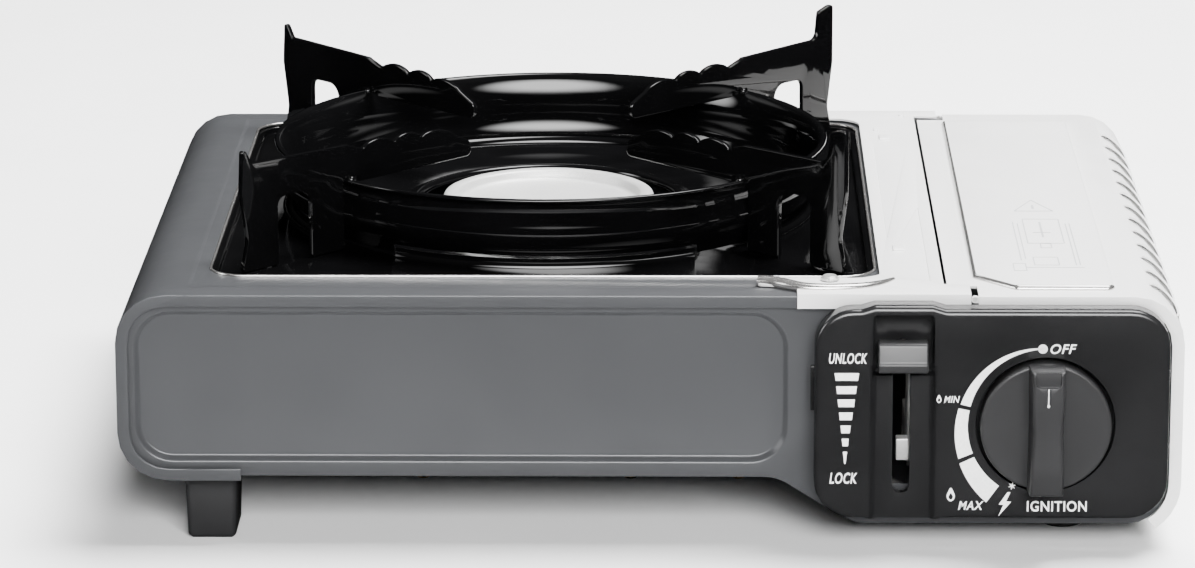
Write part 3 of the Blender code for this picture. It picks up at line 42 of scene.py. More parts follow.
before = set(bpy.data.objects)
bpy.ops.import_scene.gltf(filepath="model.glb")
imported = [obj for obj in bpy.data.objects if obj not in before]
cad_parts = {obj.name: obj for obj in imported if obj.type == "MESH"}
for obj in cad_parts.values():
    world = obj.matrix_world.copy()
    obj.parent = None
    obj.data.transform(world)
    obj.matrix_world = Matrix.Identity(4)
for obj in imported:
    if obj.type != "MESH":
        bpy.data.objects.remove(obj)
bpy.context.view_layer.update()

MM = 0.001
BODY = "stove_body"

# ---------------------------------------------------------------- places read from the frame
shell_low, shell_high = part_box("body_shell")
ring_low, ring_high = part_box("support_ring")
cap_low, cap_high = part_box("burner_cap")
knob_low, knob_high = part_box("knob")

LEFT = shell_low.x
FRONT = shell_low.y
DECK = shell_high.z
LID_RIGHT = (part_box("lid")[1].x - LEFT) / MM
PANEL_FACE = (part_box("fascia")[0].y - FRONT) / MM
RING_PLACE = Vector((*((ring_low + ring_high) / 2).xy, DECK))
BURNER_PLACE = Vector((*((cap_low + cap_high) / 2).xy, DECK))
KNOB_CENTRE = (knob_low + knob_high) / 2
KNOB_X = (KNOB_CENTRE.x - LEFT) / MM
KNOB_Z = (KNOB_CENTRE.z - DECK) / MM


def at(x, y, z):
    """Point given in millimetres from the left wall, the front fold and the deck."""
    return Vector((LEFT + x * MM, FRONT + y * MM, DECK + z * MM))


# ---------------------------------------------------------------- what a user would change
class StoveSizes(bpy.types.PropertyGroup):
    """Sizes of the fine shapes that the frame leaves open."""

    sheet_edge: bpy.props.FloatProperty(
        name="Sheet edge", description="Rounding along the edges of the base and the drip pan",
        default=0.3 * MM, min=0.05 * MM, max=0.4 * MM, unit="LENGTH", precision=4)
    field_depth: bpy.props.FloatProperty(
        name="Field depth", description="Depth of the pressed field in the front panel",
        default=2 * MM, min=0.0, max=2.6 * MM, unit="LENGTH", precision=4)
    panel_rise: bpy.props.FloatProperty(
        name="Lid panel rise", description="Height of the lid's raised panel above the deck",
        default=1.45 * MM, min=1.3 * MM, max=3 * MM, unit="LENGTH", precision=4)
    louvre_rise: bpy.props.FloatProperty(
        name="Louvre rise", description="Height of the hoods over the lid's slots",
        default=1.5 * MM, min=0.2 * MM, max=3 * MM, unit="LENGTH", precision=4)
    bead_radius: bpy.props.FloatProperty(
        name="Bead radius", description="Radius of the round bead pressed in the drip pan",
        default=3.6 * MM, min=MM, max=5 * MM, unit="LENGTH", precision=4)


class StoveColours(bpy.types.PropertyGroup):
    """Colours of the stove's finishes."""

    grey: bpy.props.FloatVectorProperty(
        name="Grey paint", description="Paint of the body and the front panel",
        default=(0.054, 0.0555, 0.0588), min=0, max=1, size=3, subtype="COLOR")
    silver: bpy.props.FloatVectorProperty(
        name="Silver paint", description="Paint of the lid and the bridge plate",
        default=(0.76, 0.755, 0.75), min=0, max=1, size=3, subtype="COLOR")
    enamel: bpy.props.FloatVectorProperty(
        name="Black enamel", description="Enamel of the drip pan and the pan support",
        default=(0.0012, 0.0012, 0.0013), min=0, max=1, size=3, subtype="COLOR")
    plastic: bpy.props.FloatVectorProperty(
        name="Black plastic", description="Control panel, knob, lever and legs",
        default=(0.008, 0.008, 0.0084), min=0, max=1, size=3, subtype="COLOR")
    alloy: bpy.props.FloatVectorProperty(
        name="Cast alloy", description="Burner head and castings",
        default=(0.7, 0.7, 0.69), min=0, max=1, size=3, subtype="COLOR")
    print_white: bpy.props.FloatVectorProperty(
        name="Print", description="Printed legends on the control panel",
        default=(0.8, 0.8, 0.79), min=0, max=1, size=3, subtype="COLOR")


def sizes():
    """The sizes set in the scene."""
    return bpy.context.scene.stove_sizes


def colours():
    """The colours set in the scene."""
    return bpy.context.scene.stove_colours


# ---------------------------------------------------------------- materials
RANGE_ENDS = ("From Min", "From Max", "To Min", "To Max")


class Finish:
    """Small builder for a node material on Object coordinates."""

    def __init__(self, name):
        self.material = bpy.data.materials.new(name)
        self.material.use_nodes = True
        self.nodes = self.material.node_tree.nodes
        self.links = self.material.node_tree.links
        self.shader = self.nodes["Principled BSDF"]
        self.place = self.nodes.new("ShaderNodeTexCoord")

    def noise(self, scale, detail=3.0, roughness=0.5, stretch=None):
        """Noise texture; stretch squeezes it along one or more axes."""
        texture = self.nodes.new("ShaderNodeTexNoise")
        texture.inputs["Scale"].default_value = scale
        texture.inputs["Detail"].default_value = detail
        texture.inputs["Roughness"].default_value = roughness
        source = self.place.outputs["Object"]
        if stretch:
            mapping = self.nodes.new("ShaderNodeMapping")
            mapping.inputs["Scale"].default_value = stretch
            self.links.new(source, mapping.inputs["Vector"])
            source = mapping.outputs["Vector"]
        self.links.new(source, texture.inputs["Vector"])
        return texture.outputs["Fac"]

    def ramp(self, value, low, high, first, last):
        """Value mapped from low..high onto first..last."""
        mapped = self.nodes.new("ShaderNodeMapRange")
        for name, level in zip(RANGE_ENDS, (low, high, first, last)):
            mapped.inputs[name].default_value = level
        self.links.new(value, mapped.inputs["Value"])
        return mapped.outputs["Result"]

    def colour(self, value, first, last, low=0.3, high=0.7):
        """Base colour that runs between two colours with a value."""
        ramp = self.nodes.new("ShaderNodeValToRGB")
        ramp.color_ramp.elements[0].position = low
        ramp.color_ramp.elements[1].position = high
        ramp.color_ramp.elements[0].color = (*first, 1)
        ramp.color_ramp.elements[1].color = (*last, 1)
        self.links.new(value, ramp.inputs["Fac"])
        self.links.new(ramp.outputs["Color"], self.shader.inputs["Base Color"])

    def roughness(self, value, first, last, low=0.3, high=0.7):
        """Roughness that runs between two levels with a value."""
        self.links.new(self.ramp(value, low, high, first, last), self.shader.inputs["Roughness"])

    def bumps(self, *layers):
        """Bump from (value, distance) layers, one on top of the other."""
        before = None
        for value, distance in layers:
            bump = self.nodes.new("ShaderNodeBump")
            bump.inputs["Strength"].default_value = 1.0
            bump.inputs["Distance"].default_value = distance
            self.links.new(value, bump.inputs["Height"])
            if before:
                self.links.new(before.outputs["Normal"], bump.inputs["Normal"])
            before = bump
        self.links.new(before.outputs["Normal"], self.shader.inputs["Normal"])

    def set(self, **values):
        """Constant values on the shader's own sockets."""
        for name, value in values.items():
            self.shader.inputs[name.replace("_", " ")].default_value = value


def shade(colour, factor):
    """Colour made lighter or darker by a factor."""
    return tuple(min(channel * factor, 1.0) for channel in colour)


def grey_paint():
    """Semi-gloss grey paint with a faint orange peel and dust specks."""
    paint = Finish("grey_paint")
    base = colours().grey
    drift = paint.noise(9, 4)
    paint.colour(drift, shade(base, 0.96), shade(base, 1.05))
    paint.roughness(paint.noise(45, 4), 0.28, 0.35)
    paint.bumps((paint.noise(900, 2), 0.006 * MM), (paint.noise(6000, 1), 0.0015 * MM))
    paint.set(Metallic=0.35, Specular_IOR_Level=0.35)
    return paint.material


def silver_paint():
    """Fine-flake silver paint."""
    paint = Finish("silver_paint")
    base = colours().silver
    flake = paint.noise(9000, 1)
    paint.colour(flake, shade(base, 0.93), shade(base, 1.06), 0.35, 0.65)
    paint.roughness(paint.noise(60, 4), 0.36, 0.43)
    paint.bumps((paint.noise(700, 2), 0.005 * MM), (flake, 0.001 * MM))
    paint.set(Metallic=0.15)
    return paint.material


def lip_metal_and_painted_highlight():
    """Silver paint drawn thin and bright over a pressed lip, as on the rolled tongue; also a
    painted highlight on the pan's rim and a painted reflection on the lid panel's left and front
    slopes.
    """
    metal = Finish("lip_metal_and_painted_highlight")
    metal.colour(metal.noise(40, 4), (0.5, 0.49, 0.48), (0.62, 0.61, 0.6))
    metal.roughness(metal.noise(300, 3), 0.16, 0.24)
    metal.bumps((metal.noise(500, 2), 0.006 * MM),)
    metal.set(Metallic=0.9)
    return metal.material


def black_enamel():
    """Glossy vitreous enamel, slightly wavy, with tiny pinholes."""
    enamel = Finish("black_enamel")
    base = colours().enamel
    enamel.colour(enamel.noise(30, 4), base, shade(base, 1.9))
    enamel.roughness(enamel.noise(140, 5), 0.03, 0.07, 0.35, 0.7)
    enamel.bumps((enamel.noise(110, 2), 0.014 * MM), (enamel.noise(1400, 2), 0.0012 * MM))
    enamel.set(Specular_IOR_Level=0.36)
    return enamel.material


def black_plastic(name="black_plastic", rough=0.24, texture=0.006, spread=0.03, tint=1.0):
    """Satin moulded plastic with a fine spark-eroded texture."""
    plastic = Finish(name)
    base = shade(colours().plastic, tint)
    plastic.colour(plastic.noise(25, 4), shade(base, 0.85), shade(base, 1.3))
    plastic.roughness(plastic.noise(300, 4), rough - spread, rough + spread)
    plastic.bumps((plastic.noise(3200, 2), texture * MM), (plastic.noise(400, 2), 0.006 * MM))
    plastic.set(Specular_IOR_Level=0.45)
    return plastic.material


def cast_alloy():
    """Bead-blasted die casting."""
    alloy = Finish("cast_alloy")
    base = colours().alloy
    grain = alloy.noise(2600, 3, 0.7)
    alloy.colour(grain, shade(base, 0.8), shade(base, 1.15), 0.3, 0.7)
    alloy.roughness(alloy.noise(90, 4), 0.42, 0.56)
    alloy.bumps((grain, 0.03 * MM), (alloy.noise(220, 3), 0.05 * MM))
    alloy.set(Metallic=0.55)
    return alloy.material


def plated_steel():
    """Zinc plated strip with drawing lines."""
    steel = Finish("plated_steel")
    lines = steel.noise(400, 4, 0.6, (1, 0.04, 1))
    steel.colour(lines, (0.5, 0.5, 0.49), (0.6, 0.59, 0.58))
    steel.roughness(steel.noise(120, 4), 0.36, 0.44)
    steel.bumps((lines, 0.0015 * MM),)
    steel.set(Metallic=0.7)
    return steel.material


def brass():
    """Turned brass."""
    metal = Finish("brass")
    turning = metal.noise(900, 3, 0.6, (0.1, 1, 1))
    metal.colour(turning, (0.55, 0.36, 0.12), (0.75, 0.52, 0.22))
    metal.roughness(metal.noise(200, 4), 0.22, 0.34)
    metal.bumps((turning, 0.004 * MM),)
    metal.set(Metallic=1.0)
    return metal.material


def rubber():
    """Matt black rubber."""
    gum = Finish("rubber")
    gum.colour(gum.noise(60, 5), (0.014, 0.014, 0.014), (0.028, 0.027, 0.026))
    gum.roughness(gum.noise(500, 3), 0.62, 0.78)
    gum.bumps((gum.noise(2500, 3), 0.02 * MM),)
    return gum.material


def ceramic():
    """Glazed insulator."""
    glaze = Finish("ceramic")
    glaze.colour(glaze.noise(300, 4), (0.74, 0.71, 0.64), (0.84, 0.82, 0.77))
    glaze.roughness(glaze.noise(80, 3), 0.16, 0.28)
    glaze.bumps((glaze.noise(800, 2), 0.004 * MM),)
    return glaze.material


def wire_cover():
    """Soft cover of the ignition wire."""
    cover = Finish("wire_cover")
    cover.colour(cover.noise(400, 3), (0.02, 0.02, 0.02), (0.035, 0.034, 0.033))
    cover.roughness(cover.noise(300, 3), 0.42, 0.55)
    cover.bumps((cover.noise(1500, 2), 0.01 * MM),)
    return cover.material


def print_ink(name, base):
    """Screen-printed ink with slightly uneven cover."""
    ink = Finish(name)
    ink.colour(ink.noise(1500, 4), shade(base, 0.9), shade(base, 1.05))
    ink.roughness(ink.noise(700, 3), 0.4, 0.55)
    ink.bumps((ink.noise(4000, 2), 0.003 * MM),)
    return ink.material


MAKERS = {
    "grey_paint": grey_paint,
    "silver_paint": silver_paint,
    "lip_metal_and_painted_highlight": lip_metal_and_painted_highlight,
    "black_enamel": black_enamel,
    "black_plastic": black_plastic,
    "knob_plastic": lambda: black_plastic("knob_plastic", 0.38, 0.004, 0.015, 1.7),
    "cast_alloy": cast_alloy,
    "plated_steel": plated_steel,
    "brass": brass,
    "rubber": rubber,
    "ceramic": ceramic,
    "wire_cover": wire_cover,
    "white_print": lambda: print_ink("white_print", colours().print_white),
    "grey_print": lambda: print_ink("grey_print", (0.42, 0.42, 0.43)),
}


MADE = {}


def finish(name):
    """The named material, made the first time it is asked for."""
    if name not in MADE:
        MADE[name] = MAKERS[name]()
    return MADE[name]


# ---------------------------------------------------------------- modelling helpers
def deselect():
    """Leave edit mode with nothing selected."""
    if bpy.context.object and bpy.context.object.mode != "OBJECT":
        bpy.ops.object.mode_set(mode="OBJECT")
    bpy.ops.object.select_all(action="DESELECT")


def activate(thing):
    """Make one object the selected, active one."""
    deselect()
    thing.select_set(True)
    bpy.context.view_layer.objects.active = thing


def settle(thing):
    """Put a piece's place into its mesh."""
    activate(thing)
    bpy.ops.object.transform_apply(location=True, rotation=True, scale=True)


def cube(name, low, high):
    """Box between two corners, as a cube primitive at its size and place."""
    low = Vector(low)
    high = Vector(high)
    deselect()
    bpy.ops.mesh.primitive_cube_add(size=1, location=(low + high) / 2, scale=high - low)
    thing = bpy.context.object
    thing.name = name
    settle(thing)
    return thing


def disc(name, centre, radius, depth, sides=64):
    """Round disc or bar along the front-to-back axis, centred at a point."""
    deselect()
    bpy.ops.mesh.primitive_cone_add(
        vertices=sides, radius1=radius, radius2=radius, depth=depth, location=centre,
        rotation=(math.pi / 2, 0, 0))
    thing = bpy.context.object
    thing.name = name
    settle(thing)
    return thing


def pick(thing, kind, test):
    """Enter edit mode with the faces, edges or vertices that pass the test selected."""
    activate(thing)
    bpy.ops.object.mode_set(mode="EDIT")
    bpy.context.tool_settings.mesh_select_mode = (kind == "VERT", kind == "EDGE", kind == "FACE")
    bpy.ops.mesh.select_all(action="DESELECT")
    shape = bmesh.from_edit_mesh(thing.data)
    items = {"VERT": shape.verts, "EDGE": shape.edges, "FACE": shape.faces}[kind]
    for item in items:
        item.select_set(bool(test(item)))
    shape.select_flush_mode()
    bmesh.update_edit_mesh(thing.data)


def leave():
    """Back to object mode."""
    bpy.ops.object.mode_set(mode="OBJECT")


def middle(edge):
    """Middle point of an edge."""
    return (edge.verts[0].co + edge.verts[1].co) / 2


def runs_along(edge, axis):
    """Whether an edge is parallel to an axis."""
    along = (edge.verts[1].co - edge.verts[0].co).normalized()
    return abs(along["XYZ".index(axis)]) > 0.99


def bevel_edges(thing, test, width, segments):
    """Round the edges that pass the test."""
    pick(thing, "EDGE", test)
    bpy.ops.mesh.bevel(offset=width, offset_type="OFFSET", segments=segments, profile=0.5,
                       affect="EDGES")
    leave()


def modify(thing, kind, **settings):
    """Add a modifier, set it and apply it."""
    step = thing.modifiers.new(kind.lower(), kind)
    for name, value in settings.items():
        setattr(step, name, value)
    activate(thing)
    bpy.ops.object.modifier_apply(modifier=step.name)


def soften(thing, width, segments=2, angle=35):
    """Rounded edges all over, then smooth shading."""
    modify(thing, "BEVEL", width=width, segments=segments, limit_method="ANGLE",
           angle_limit=math.radians(angle), harden_normals=False, miter_outer="MITER_ARC")
    smooth(thing, angle)


def round_edges(thing, width, angle):
    """Small rounding of the edges sharper than an angle in degrees."""
    modify(thing, "BEVEL", width=width, segments=3, limit_method="ANGLE",
           angle_limit=math.radians(angle), harden_normals=False)


def smooth(thing, angle=35):
    """Smooth shading that keeps edges sharper than an angle in degrees."""
    activate(thing)
    bpy.ops.object.shade_smooth_by_angle(angle=math.radians(angle), keep_sharp_edges=False)


def combine(thing, other, operation):
    """Boolean with another shape, which is then removed."""
    modify(thing, "BOOLEAN", object=other, operation=operation, solver="EXACT")
    bpy.data.objects.remove(other, do_unlink=True)


def cut(thing, *others):
    """Take other shapes away."""
    for other in others:
        combine(thing, other, "DIFFERENCE")


def unite(thing, *others):
    """Add other shapes."""
    for other in others:
        combine(thing, other, "UNION")


def keep(thing, name, body, material, *nodes):
    """Name a finished piece, give it its finish and body, and hide the nodes it replaces."""
    thing.name = name
    thing.data.name = name
    thing.data.materials.clear()
    thing.data.materials.append(finish(material))
    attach(thing, body)
    if nodes:
        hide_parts(*nodes)


def rounded(corners, steps=10):
    """Closed outline through (u, v, radius) corners, with an arc at each round corner."""
    points = []
    for index, (u, v, radius) in enumerate(corners):
        corner = Vector((u, v))
        if radius <= 0:
            points.append(corner)
            continue
        back = (Vector(corners[index - 1][:2]) - corner).normalized()
        ahead = (Vector(corners[(index + 1) % len(corners)][:2]) - corner).normalized()
        half = back.angle(ahead) / 2
        centre = corner + (back + ahead).normalized() * radius / math.sin(half)
        reach = radius / math.tan(half)
        start = corner + back * reach - centre
        end = corner + ahead * reach - centre
        first = math.atan2(start.y, start.x)
        turn = math.atan2(end.y, end.x) - first
        turn = (turn + math.pi) % (2 * math.pi) - math.pi
        points += arc(centre, radius, first, first + turn, steps)
    return points


def arc(centre, radius, first, last, steps):
    """Points on an arc between two angles in radians."""
    angles = [first + (last - first) * step / steps for step in range(steps + 1)]
    return [Vector(centre) + radius * Vector((math.cos(a), math.sin(a))) for a in angles]


def curve_through(name, kind, places, flat=False):
    """New curve with one spline through the places."""
    curve = bpy.data.curves.new(name, "CURVE")
    curve.dimensions = "2D" if flat else "3D"
    spline = curve.splines.new(kind)
    spline.points.add(len(places) - 1)
    for point, place in zip(spline.points, places):
        point.co = (*place, 1)
    return curve, spline


def to_mesh(name, curve):
    """Curve made into a mesh object."""
    thing = bpy.data.objects.new(name, curve)
    bpy.context.scene.collection.objects.link(thing)
    activate(thing)
    bpy.ops.object.convert(target="MESH")
    return bpy.context.object


def plate(name, outline, axis, low, high):
    """Flat outline extruded along an axis from low to high."""
    places = [(point[0], point[1], 0) for point in outline]
    curve, spline = curve_through(name, "POLY", places, True)
    curve.fill_mode = "BOTH"
    curve.extrude = (high - low) / 2
    spline.use_cyclic_u = True
    thing = to_mesh(name, curve)
    half_way = (low + high) / 2
    if axis == "Y":
        turn = Matrix.Translation((0, half_way, 0)) @ Matrix.Rotation(math.pi / 2, 4, "X")
    elif axis == "X":
        turn = Matrix(((0, 0, 1, half_way), (1, 0, 0, 0), (0, 1, 0, 0), (0, 0, 0, 1)))
    else:
        turn = Matrix.Translation((0, 0, half_way))
    thing.data.transform(turn)
    merge(thing)
    pick(thing, "FACE", lambda face: True)
    bpy.ops.mesh.dissolve_limited(angle_limit=math.radians(0.5))
    leave()
    return thing


def merge(thing, distance=1e-6):
    """Merge doubles and turn the faces outwards."""
    pick(thing, "FACE", lambda face: True)
    bpy.ops.mesh.remove_doubles(threshold=distance)
    bpy.ops.mesh.normals_make_consistent(inside=False)
    leave()


def front_view(points):
    """(x, z) or (x, z, radius) in millimetres to metres in place."""
    return [(LEFT + p[0] * MM, DECK + p[1] * MM, *(r * MM for r in p[2:])) for p in points]


def plan_view(points):
    """(x, y) or (x, y, radius) in millimetres to metres in place."""
    return [(LEFT + p[0] * MM, FRONT + p[1] * MM, *(r * MM for r in p[2:])) for p in points]


def lathe(name, profile, centre, steps, axis="Z"):
    """Closed or axis-to-axis profile of (radius, height) in millimetres, spun round an axis."""
    deselect()
    bpy.ops.mesh.primitive_plane_add(size=1)
    thing = bpy.context.object
    thing.name = name
    shape = bmesh.new()
    corners = [shape.verts.new((radius * MM, 0, height * MM)) for radius, height in profile]
    for first, second in zip(corners, corners[1:]):
        shape.edges.new((first, second))
    if profile[0][0] > 0 or profile[-1][0] > 0:
        shape.edges.new((corners[-1], corners[0]))
    shape.to_mesh(thing.data)
    shape.free()
    pick(thing, "VERT", lambda vertex: True)
    bpy.ops.mesh.spin(steps=steps, angle=2 * math.pi, center=(0, 0, 0), axis=(0, 0, 1))
    leave()
    merge(thing)
    if axis == "Y":
        thing.data.transform(Matrix.Rotation(math.pi / 2, 4, "X"))
    thing.data.transform(Matrix.Translation(centre))
    return thing


def ease(value, low, high):
    """Smooth step from 0 at low to 1 at high."""
    t = min(max((value - low) / (high - low), 0.0), 1.0)
    return t * t * (3 - 2 * t)


def inside_distance(u, v, low_u, low_v, high_u, high_v, radius):
    """Distance inwards from the edge of a round-cornered rectangle; negative outside."""
    du = abs(u - (low_u + high_u) / 2) - (high_u - low_u) / 2 + radius
    dv = abs(v - (low_v + high_v) / 2) - (high_v - low_v) / 2 + radius
    outside = math.hypot(max(du, 0), max(dv, 0))
    return radius - outside - min(max(du, dv), 0)


def copy_of(node, name):
    """Merged and tidied copy of a frame node's mesh, as the start of a finer piece."""
    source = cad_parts[node]
    thing = bpy.data.objects.new(name, source.data.copy())
    bpy.context.scene.collection.objects.link(thing)
    thing.matrix_world = source.matrix_world
    settle(thing)
    bpy.ops.object.mode_set(mode="EDIT")
    bpy.ops.mesh.customdata_custom_splitnormals_clear()
    leave()
    merge(thing, 2e-6)
    pick(thing, "FACE", lambda face: True)
    bpy.ops.mesh.dissolve_limited(angle_limit=math.radians(1.5))
    leave()
    return thing


def push(thing, shift):
    """Move each vertex by what shift(place in millimetres) gives, in millimetres."""
    origin = at(0, 0, 0)
    for vertex in thing.data.vertices:
        vertex.co += Vector(shift((vertex.co - origin) / MM)) * MM


def slice_grid(thing, axis, places):
    """Cut the mesh straight across at several places, given in millimetres from the corner."""
    normal = {"X": (1, 0, 0), "Y": (0, 1, 0), "Z": (0, 0, 1)}[axis]
    pick(thing, "FACE", lambda face: True)
    for value in places:
        bpy.ops.mesh.select_all(action="SELECT")
        bpy.ops.mesh.bisect(plane_co=at(value, value, value), plane_no=normal)
    leave()


def spaced(low, high, step):
    """Even places from low to high, no further apart than the step."""
    count = max(int(math.ceil((high - low) / step)), 1)
    return [low + (high - low) * index / count for index in range(count + 1)]


PRINT_HALF = 0.04 * MM
CAPITAL_SHARE = 0.73
LETTER_SPACE = 1.1
LETTER_WEIGHT = 0.02


def printed(name, points):
    """Flat printed shape in the front view, from (x, z) in millimetres."""
    return plate(name, front_view(points), "Y", FRONT - PRINT_HALF, FRONT + PRINT_HALF)


def word(name, text, left, right, bottom, top, lean):
    """Bold printed word that fills a rectangle of the front view, given in millimetres."""
    deselect()
    bpy.ops.object.text_add()
    letters = bpy.context.object
    letters.data.body = text
    letters.data.size = (top - bottom) * MM / CAPITAL_SHARE
    letters.data.shear = lean
    letters.data.space_character = LETTER_SPACE
    letters.data.extrude = PRINT_HALF
    letters.data.offset = LETTER_WEIGHT * (top - bottom) * MM
    letters.data.resolution_u = 4
    bpy.ops.object.convert(target="MESH")
    letters = bpy.context.object
    letters.name = name
    low = Vector(map(min, *(v.co for v in letters.data.vertices)))
    high = Vector(map(max, *(v.co for v in letters.data.vertices)))
    stretch = ((right - left) * MM / (high.x - low.x), (top - bottom) * MM / (high.y - low.y), 1, 1)
    letters.data.transform(Matrix.Translation((-low.x, -low.y, 0)))
    letters.data.transform(Matrix.Diagonal(stretch))
    letters.data.transform(Matrix.Rotation(math.pi / 2, 4, "X"))
    letters.data.transform(Matrix.Translation(at(left, 0, bottom)))
    merge(letters)
    return letters


def joined(name, things):
    """Several shapes made one object."""
    deselect()
    for thing in things:
        thing.select_set(True)
    bpy.context.view_layer.objects.active = things[0]
    bpy.ops.object.join()
    made = bpy.context.object
    made.name = name
    settle(made)
    return made


def moved(thing, shift):
    """Copy of a shape with its own mesh, moved by millimetres."""
    other = thing.copy()
    other.data = thing.data.copy()
    bpy.context.scene.collection.objects.link(other)
    other.data.transform(Matrix.Translation(Vector(shift) * MM))
    return other


class Piece(bpy.types.Operator):
    """Shared settings of the stove's operators."""

    bl_options = {"REGISTER", "UNDO"}


# ---------------------------------------------------------------- body and base
SHEET = 0.8
# pressed step of the deck and pressed field of the front panel: left, low, right and high edges
STEP = (22.3, 10.4, 262.0, 246.5)
STEP_RADIUS = 6
STEP_RUN = 20
STEP_SLOPE = 1.4
STEP_DROP = 0.5
STEP_CUTS = 0.5
FIELD = (5.2, -56.5, 216.0, -5.5)
FIELD_RADIUS = 12.5
FIELD_STEEL = 2.8
FIELD_LEDGE = 0.15
FIELD_SLOPE = 2.2
PANEL_PLANE = 2.2
PANEL_CUT = 6.0
HAIR = 0.1


def box_outline(low_u, low_v, high_u, high_v, radius):
    """Corners of a round-cornered rectangle, in millimetres."""
    return [(low_u, low_v, radius), (high_u, low_v, radius), (high_u, high_v, radius),
            (low_u, high_v, radius)]


def press(thing, test, rolls):
    """Inset the picked face through (thickness, depth) steps in millimetres."""
    pick(thing, "FACE", test)
    for thickness, depth in rolls:
        bpy.ops.mesh.inset(thickness=thickness * MM, depth=depth * MM, use_boundary=True)
    leave()


def roll(width, depth, steps):
    """Steps of a soft slope that is level at both ends."""
    levels = [depth * ease(step / steps, 0, 1) for step in range(steps + 1)]
    return [(width / steps, levels[step + 1] - levels[step]) for step in range(steps)]


class STOVE_OT_body(Piece):
    """Wrapped grey sheet: deck, left wall and the lips round the front and back"""

    bl_idname = "stove.body"
    bl_label = "Body sheet"

    def execute(self, context):
        shell = copy_of("body_shell", "body_sheet")
        low_x, low_y, high_x, high_y = STEP
        slice_grid(shell, "X", self.slope_cuts(low_x, 1))
        slice_grid(shell, "Y", self.slope_cuts(low_y, 1) + self.slope_cuts(high_y, -1))

        def lower(place):
            """Drop of the deck inside the pressed step."""
            if place.z < -2 * SHEET or place.x > high_x:
                return (0, 0, 0)
            inner = inside_distance(place.x, place.y, low_x, low_y, high_x + STEP_RUN, high_y,
                                    STEP_RADIUS)
            return (0, 0, -STEP_DROP * ease(inner, 0, STEP_SLOPE))

        push(shell, lower)
        soften(shell, 0.32 * MM, 3, 30)
        keep(shell, "body_sheet", BODY, "grey_paint", "body_shell")
        return {"FINISHED"}

    def slope_cuts(self, edge, inwards):
        """Cuts across the soft slope at one edge of the deck's pressed step."""
        ends = sorted((edge - inwards * 0.4, edge + inwards * (STEP_SLOPE + 0.2)))
        return spaced(*ends, STEP_CUTS)


class STOVE_OT_base(Piece):
    """Front panel with its pressed field, back panel, floor and cartridge bay"""

    bl_idname = "stove.base"
    bl_label = "Base tray"

    def execute(self, context):
        tray = copy_of("base_tray", "base_pressing")
        opening = rounded(front_view(box_outline(*FIELD, FIELD_RADIUS)), 12)
        cut(tray, plate("field_opening", opening, "Y", FRONT, FRONT + PANEL_CUT * MM))
        soften(tray, sizes().sheet_edge, 3, 40)
        keep(tray, "base_pressing", BODY, "grey_paint", "base_tray")
        front = FRONT + PANEL_PLANE * MM
        field = plate("pressed_field", opening, "Y", front, front + FIELD_STEEL * MM)
        press(field, lambda face: face.calc_center_median().y < front + HAIR * MM,
              [(FIELD_LEDGE, 0)] + roll(FIELD_SLOPE, -sizes().field_depth / MM, 8))
        smooth(field, 60)
        keep(field, "pressed_field", BODY, "grey_paint", "base_tray")
        return {"FINISHED"}


# ---------------------------------------------------------------- bridge plate
# x, y and radius along the tongue's rolled edge
TONGUE = ((205.9, 14.4, 2.3), (208.5, 13.9, 2.5), (212.0, 12.6, 2.6), (215.5, 9.6, 2.5),
          (219.0, 6.9, 2.2), (223.0, 5.6, 2.0), (228.0, 5.3, 1.9), (233.5, 5.9, 1.8),
          (239.0, 7.3, 1.7), (243.5, 9.8, 1.5), (247.0, 13.2, 1.2), (249.5, 17.2, 0.7))
TONGUE_HEIGHT = 1.3
TONGUE_SQUASH = 0.75
CREASES = (((260.9, 16, 0.75), (261.25, 110, 3)), ((249.2, 70, 0.95), (249.4, 200, 3)))
# x, y, half width and half length
BOSSES = ((252.5, 56.0, 1.9, 2.9), (253.5, 212.0, 1.9, 3.2), (250.9, 224.0, 0.9, 1.6),
          (260.9, 246.6, 1.0, 0.6))
BOSS_FOOT = 0.9
BOSS_TOP = 1.75


def sweep(name, places, height, squash):
    """Round bead through (x, y, radius) places in millimetres, flattened in height."""
    curve, spline = curve_through(name, "NURBS", [at(x, y, 0) for x, y, radius in places])
    curve.bevel_depth = MM
    curve.bevel_resolution = 5
    curve.use_fill_caps = True
    curve.resolution_u = 6
    for point, (x, y, radius) in zip(spline.points, places):
        point.radius = radius
    spline.order_u = 4
    spline.use_endpoint_u = True
    thing = to_mesh(name, curve)
    for vertex in thing.data.vertices:
        vertex.co.z = DECK + height * MM + (vertex.co.z - DECK) * squash
    merge(thing)
    smooth(thing, 60)
    return thing


class STOVE_OT_bridge(Piece):
    """Silver plate between the well and the lid, with its rolled tongue over the deck's edge"""

    bl_idname = "stove.bridge"
    bl_label = "Bridge plate"

    def execute(self, context):
        bridge = copy_of("bridge_plate", "bridge_pressing")
        cut(bridge, *[cube("crease", at(*low), at(*high)) for low, high in CREASES])
        soften(bridge, 0.22 * MM, 3, 30)
        keep(bridge, "bridge_pressing", BODY, "silver_paint", "bridge_plate")
        tongue = sweep("rolled_tongue", TONGUE, TONGUE_HEIGHT, TONGUE_SQUASH)
        keep(tongue, "rolled_tongue", BODY, "lip_metal_and_painted_highlight")
        self.bosses()
        return {"FINISHED"}

    def bosses(self):
        """Small raised marks pressed in the plate."""
        marks = []
        for x, y, wide, deep in BOSSES:
            mark = cube("boss", at(x - wide, y - deep, BOSS_FOOT), at(x + wide, y + deep, BOSS_TOP))
            soften(mark, 0.4 * MM, 4)
            marks.append(mark)
        made = joined("bridge_bosses", marks)
        keep(made, "bridge_bosses", BODY, "silver_paint")


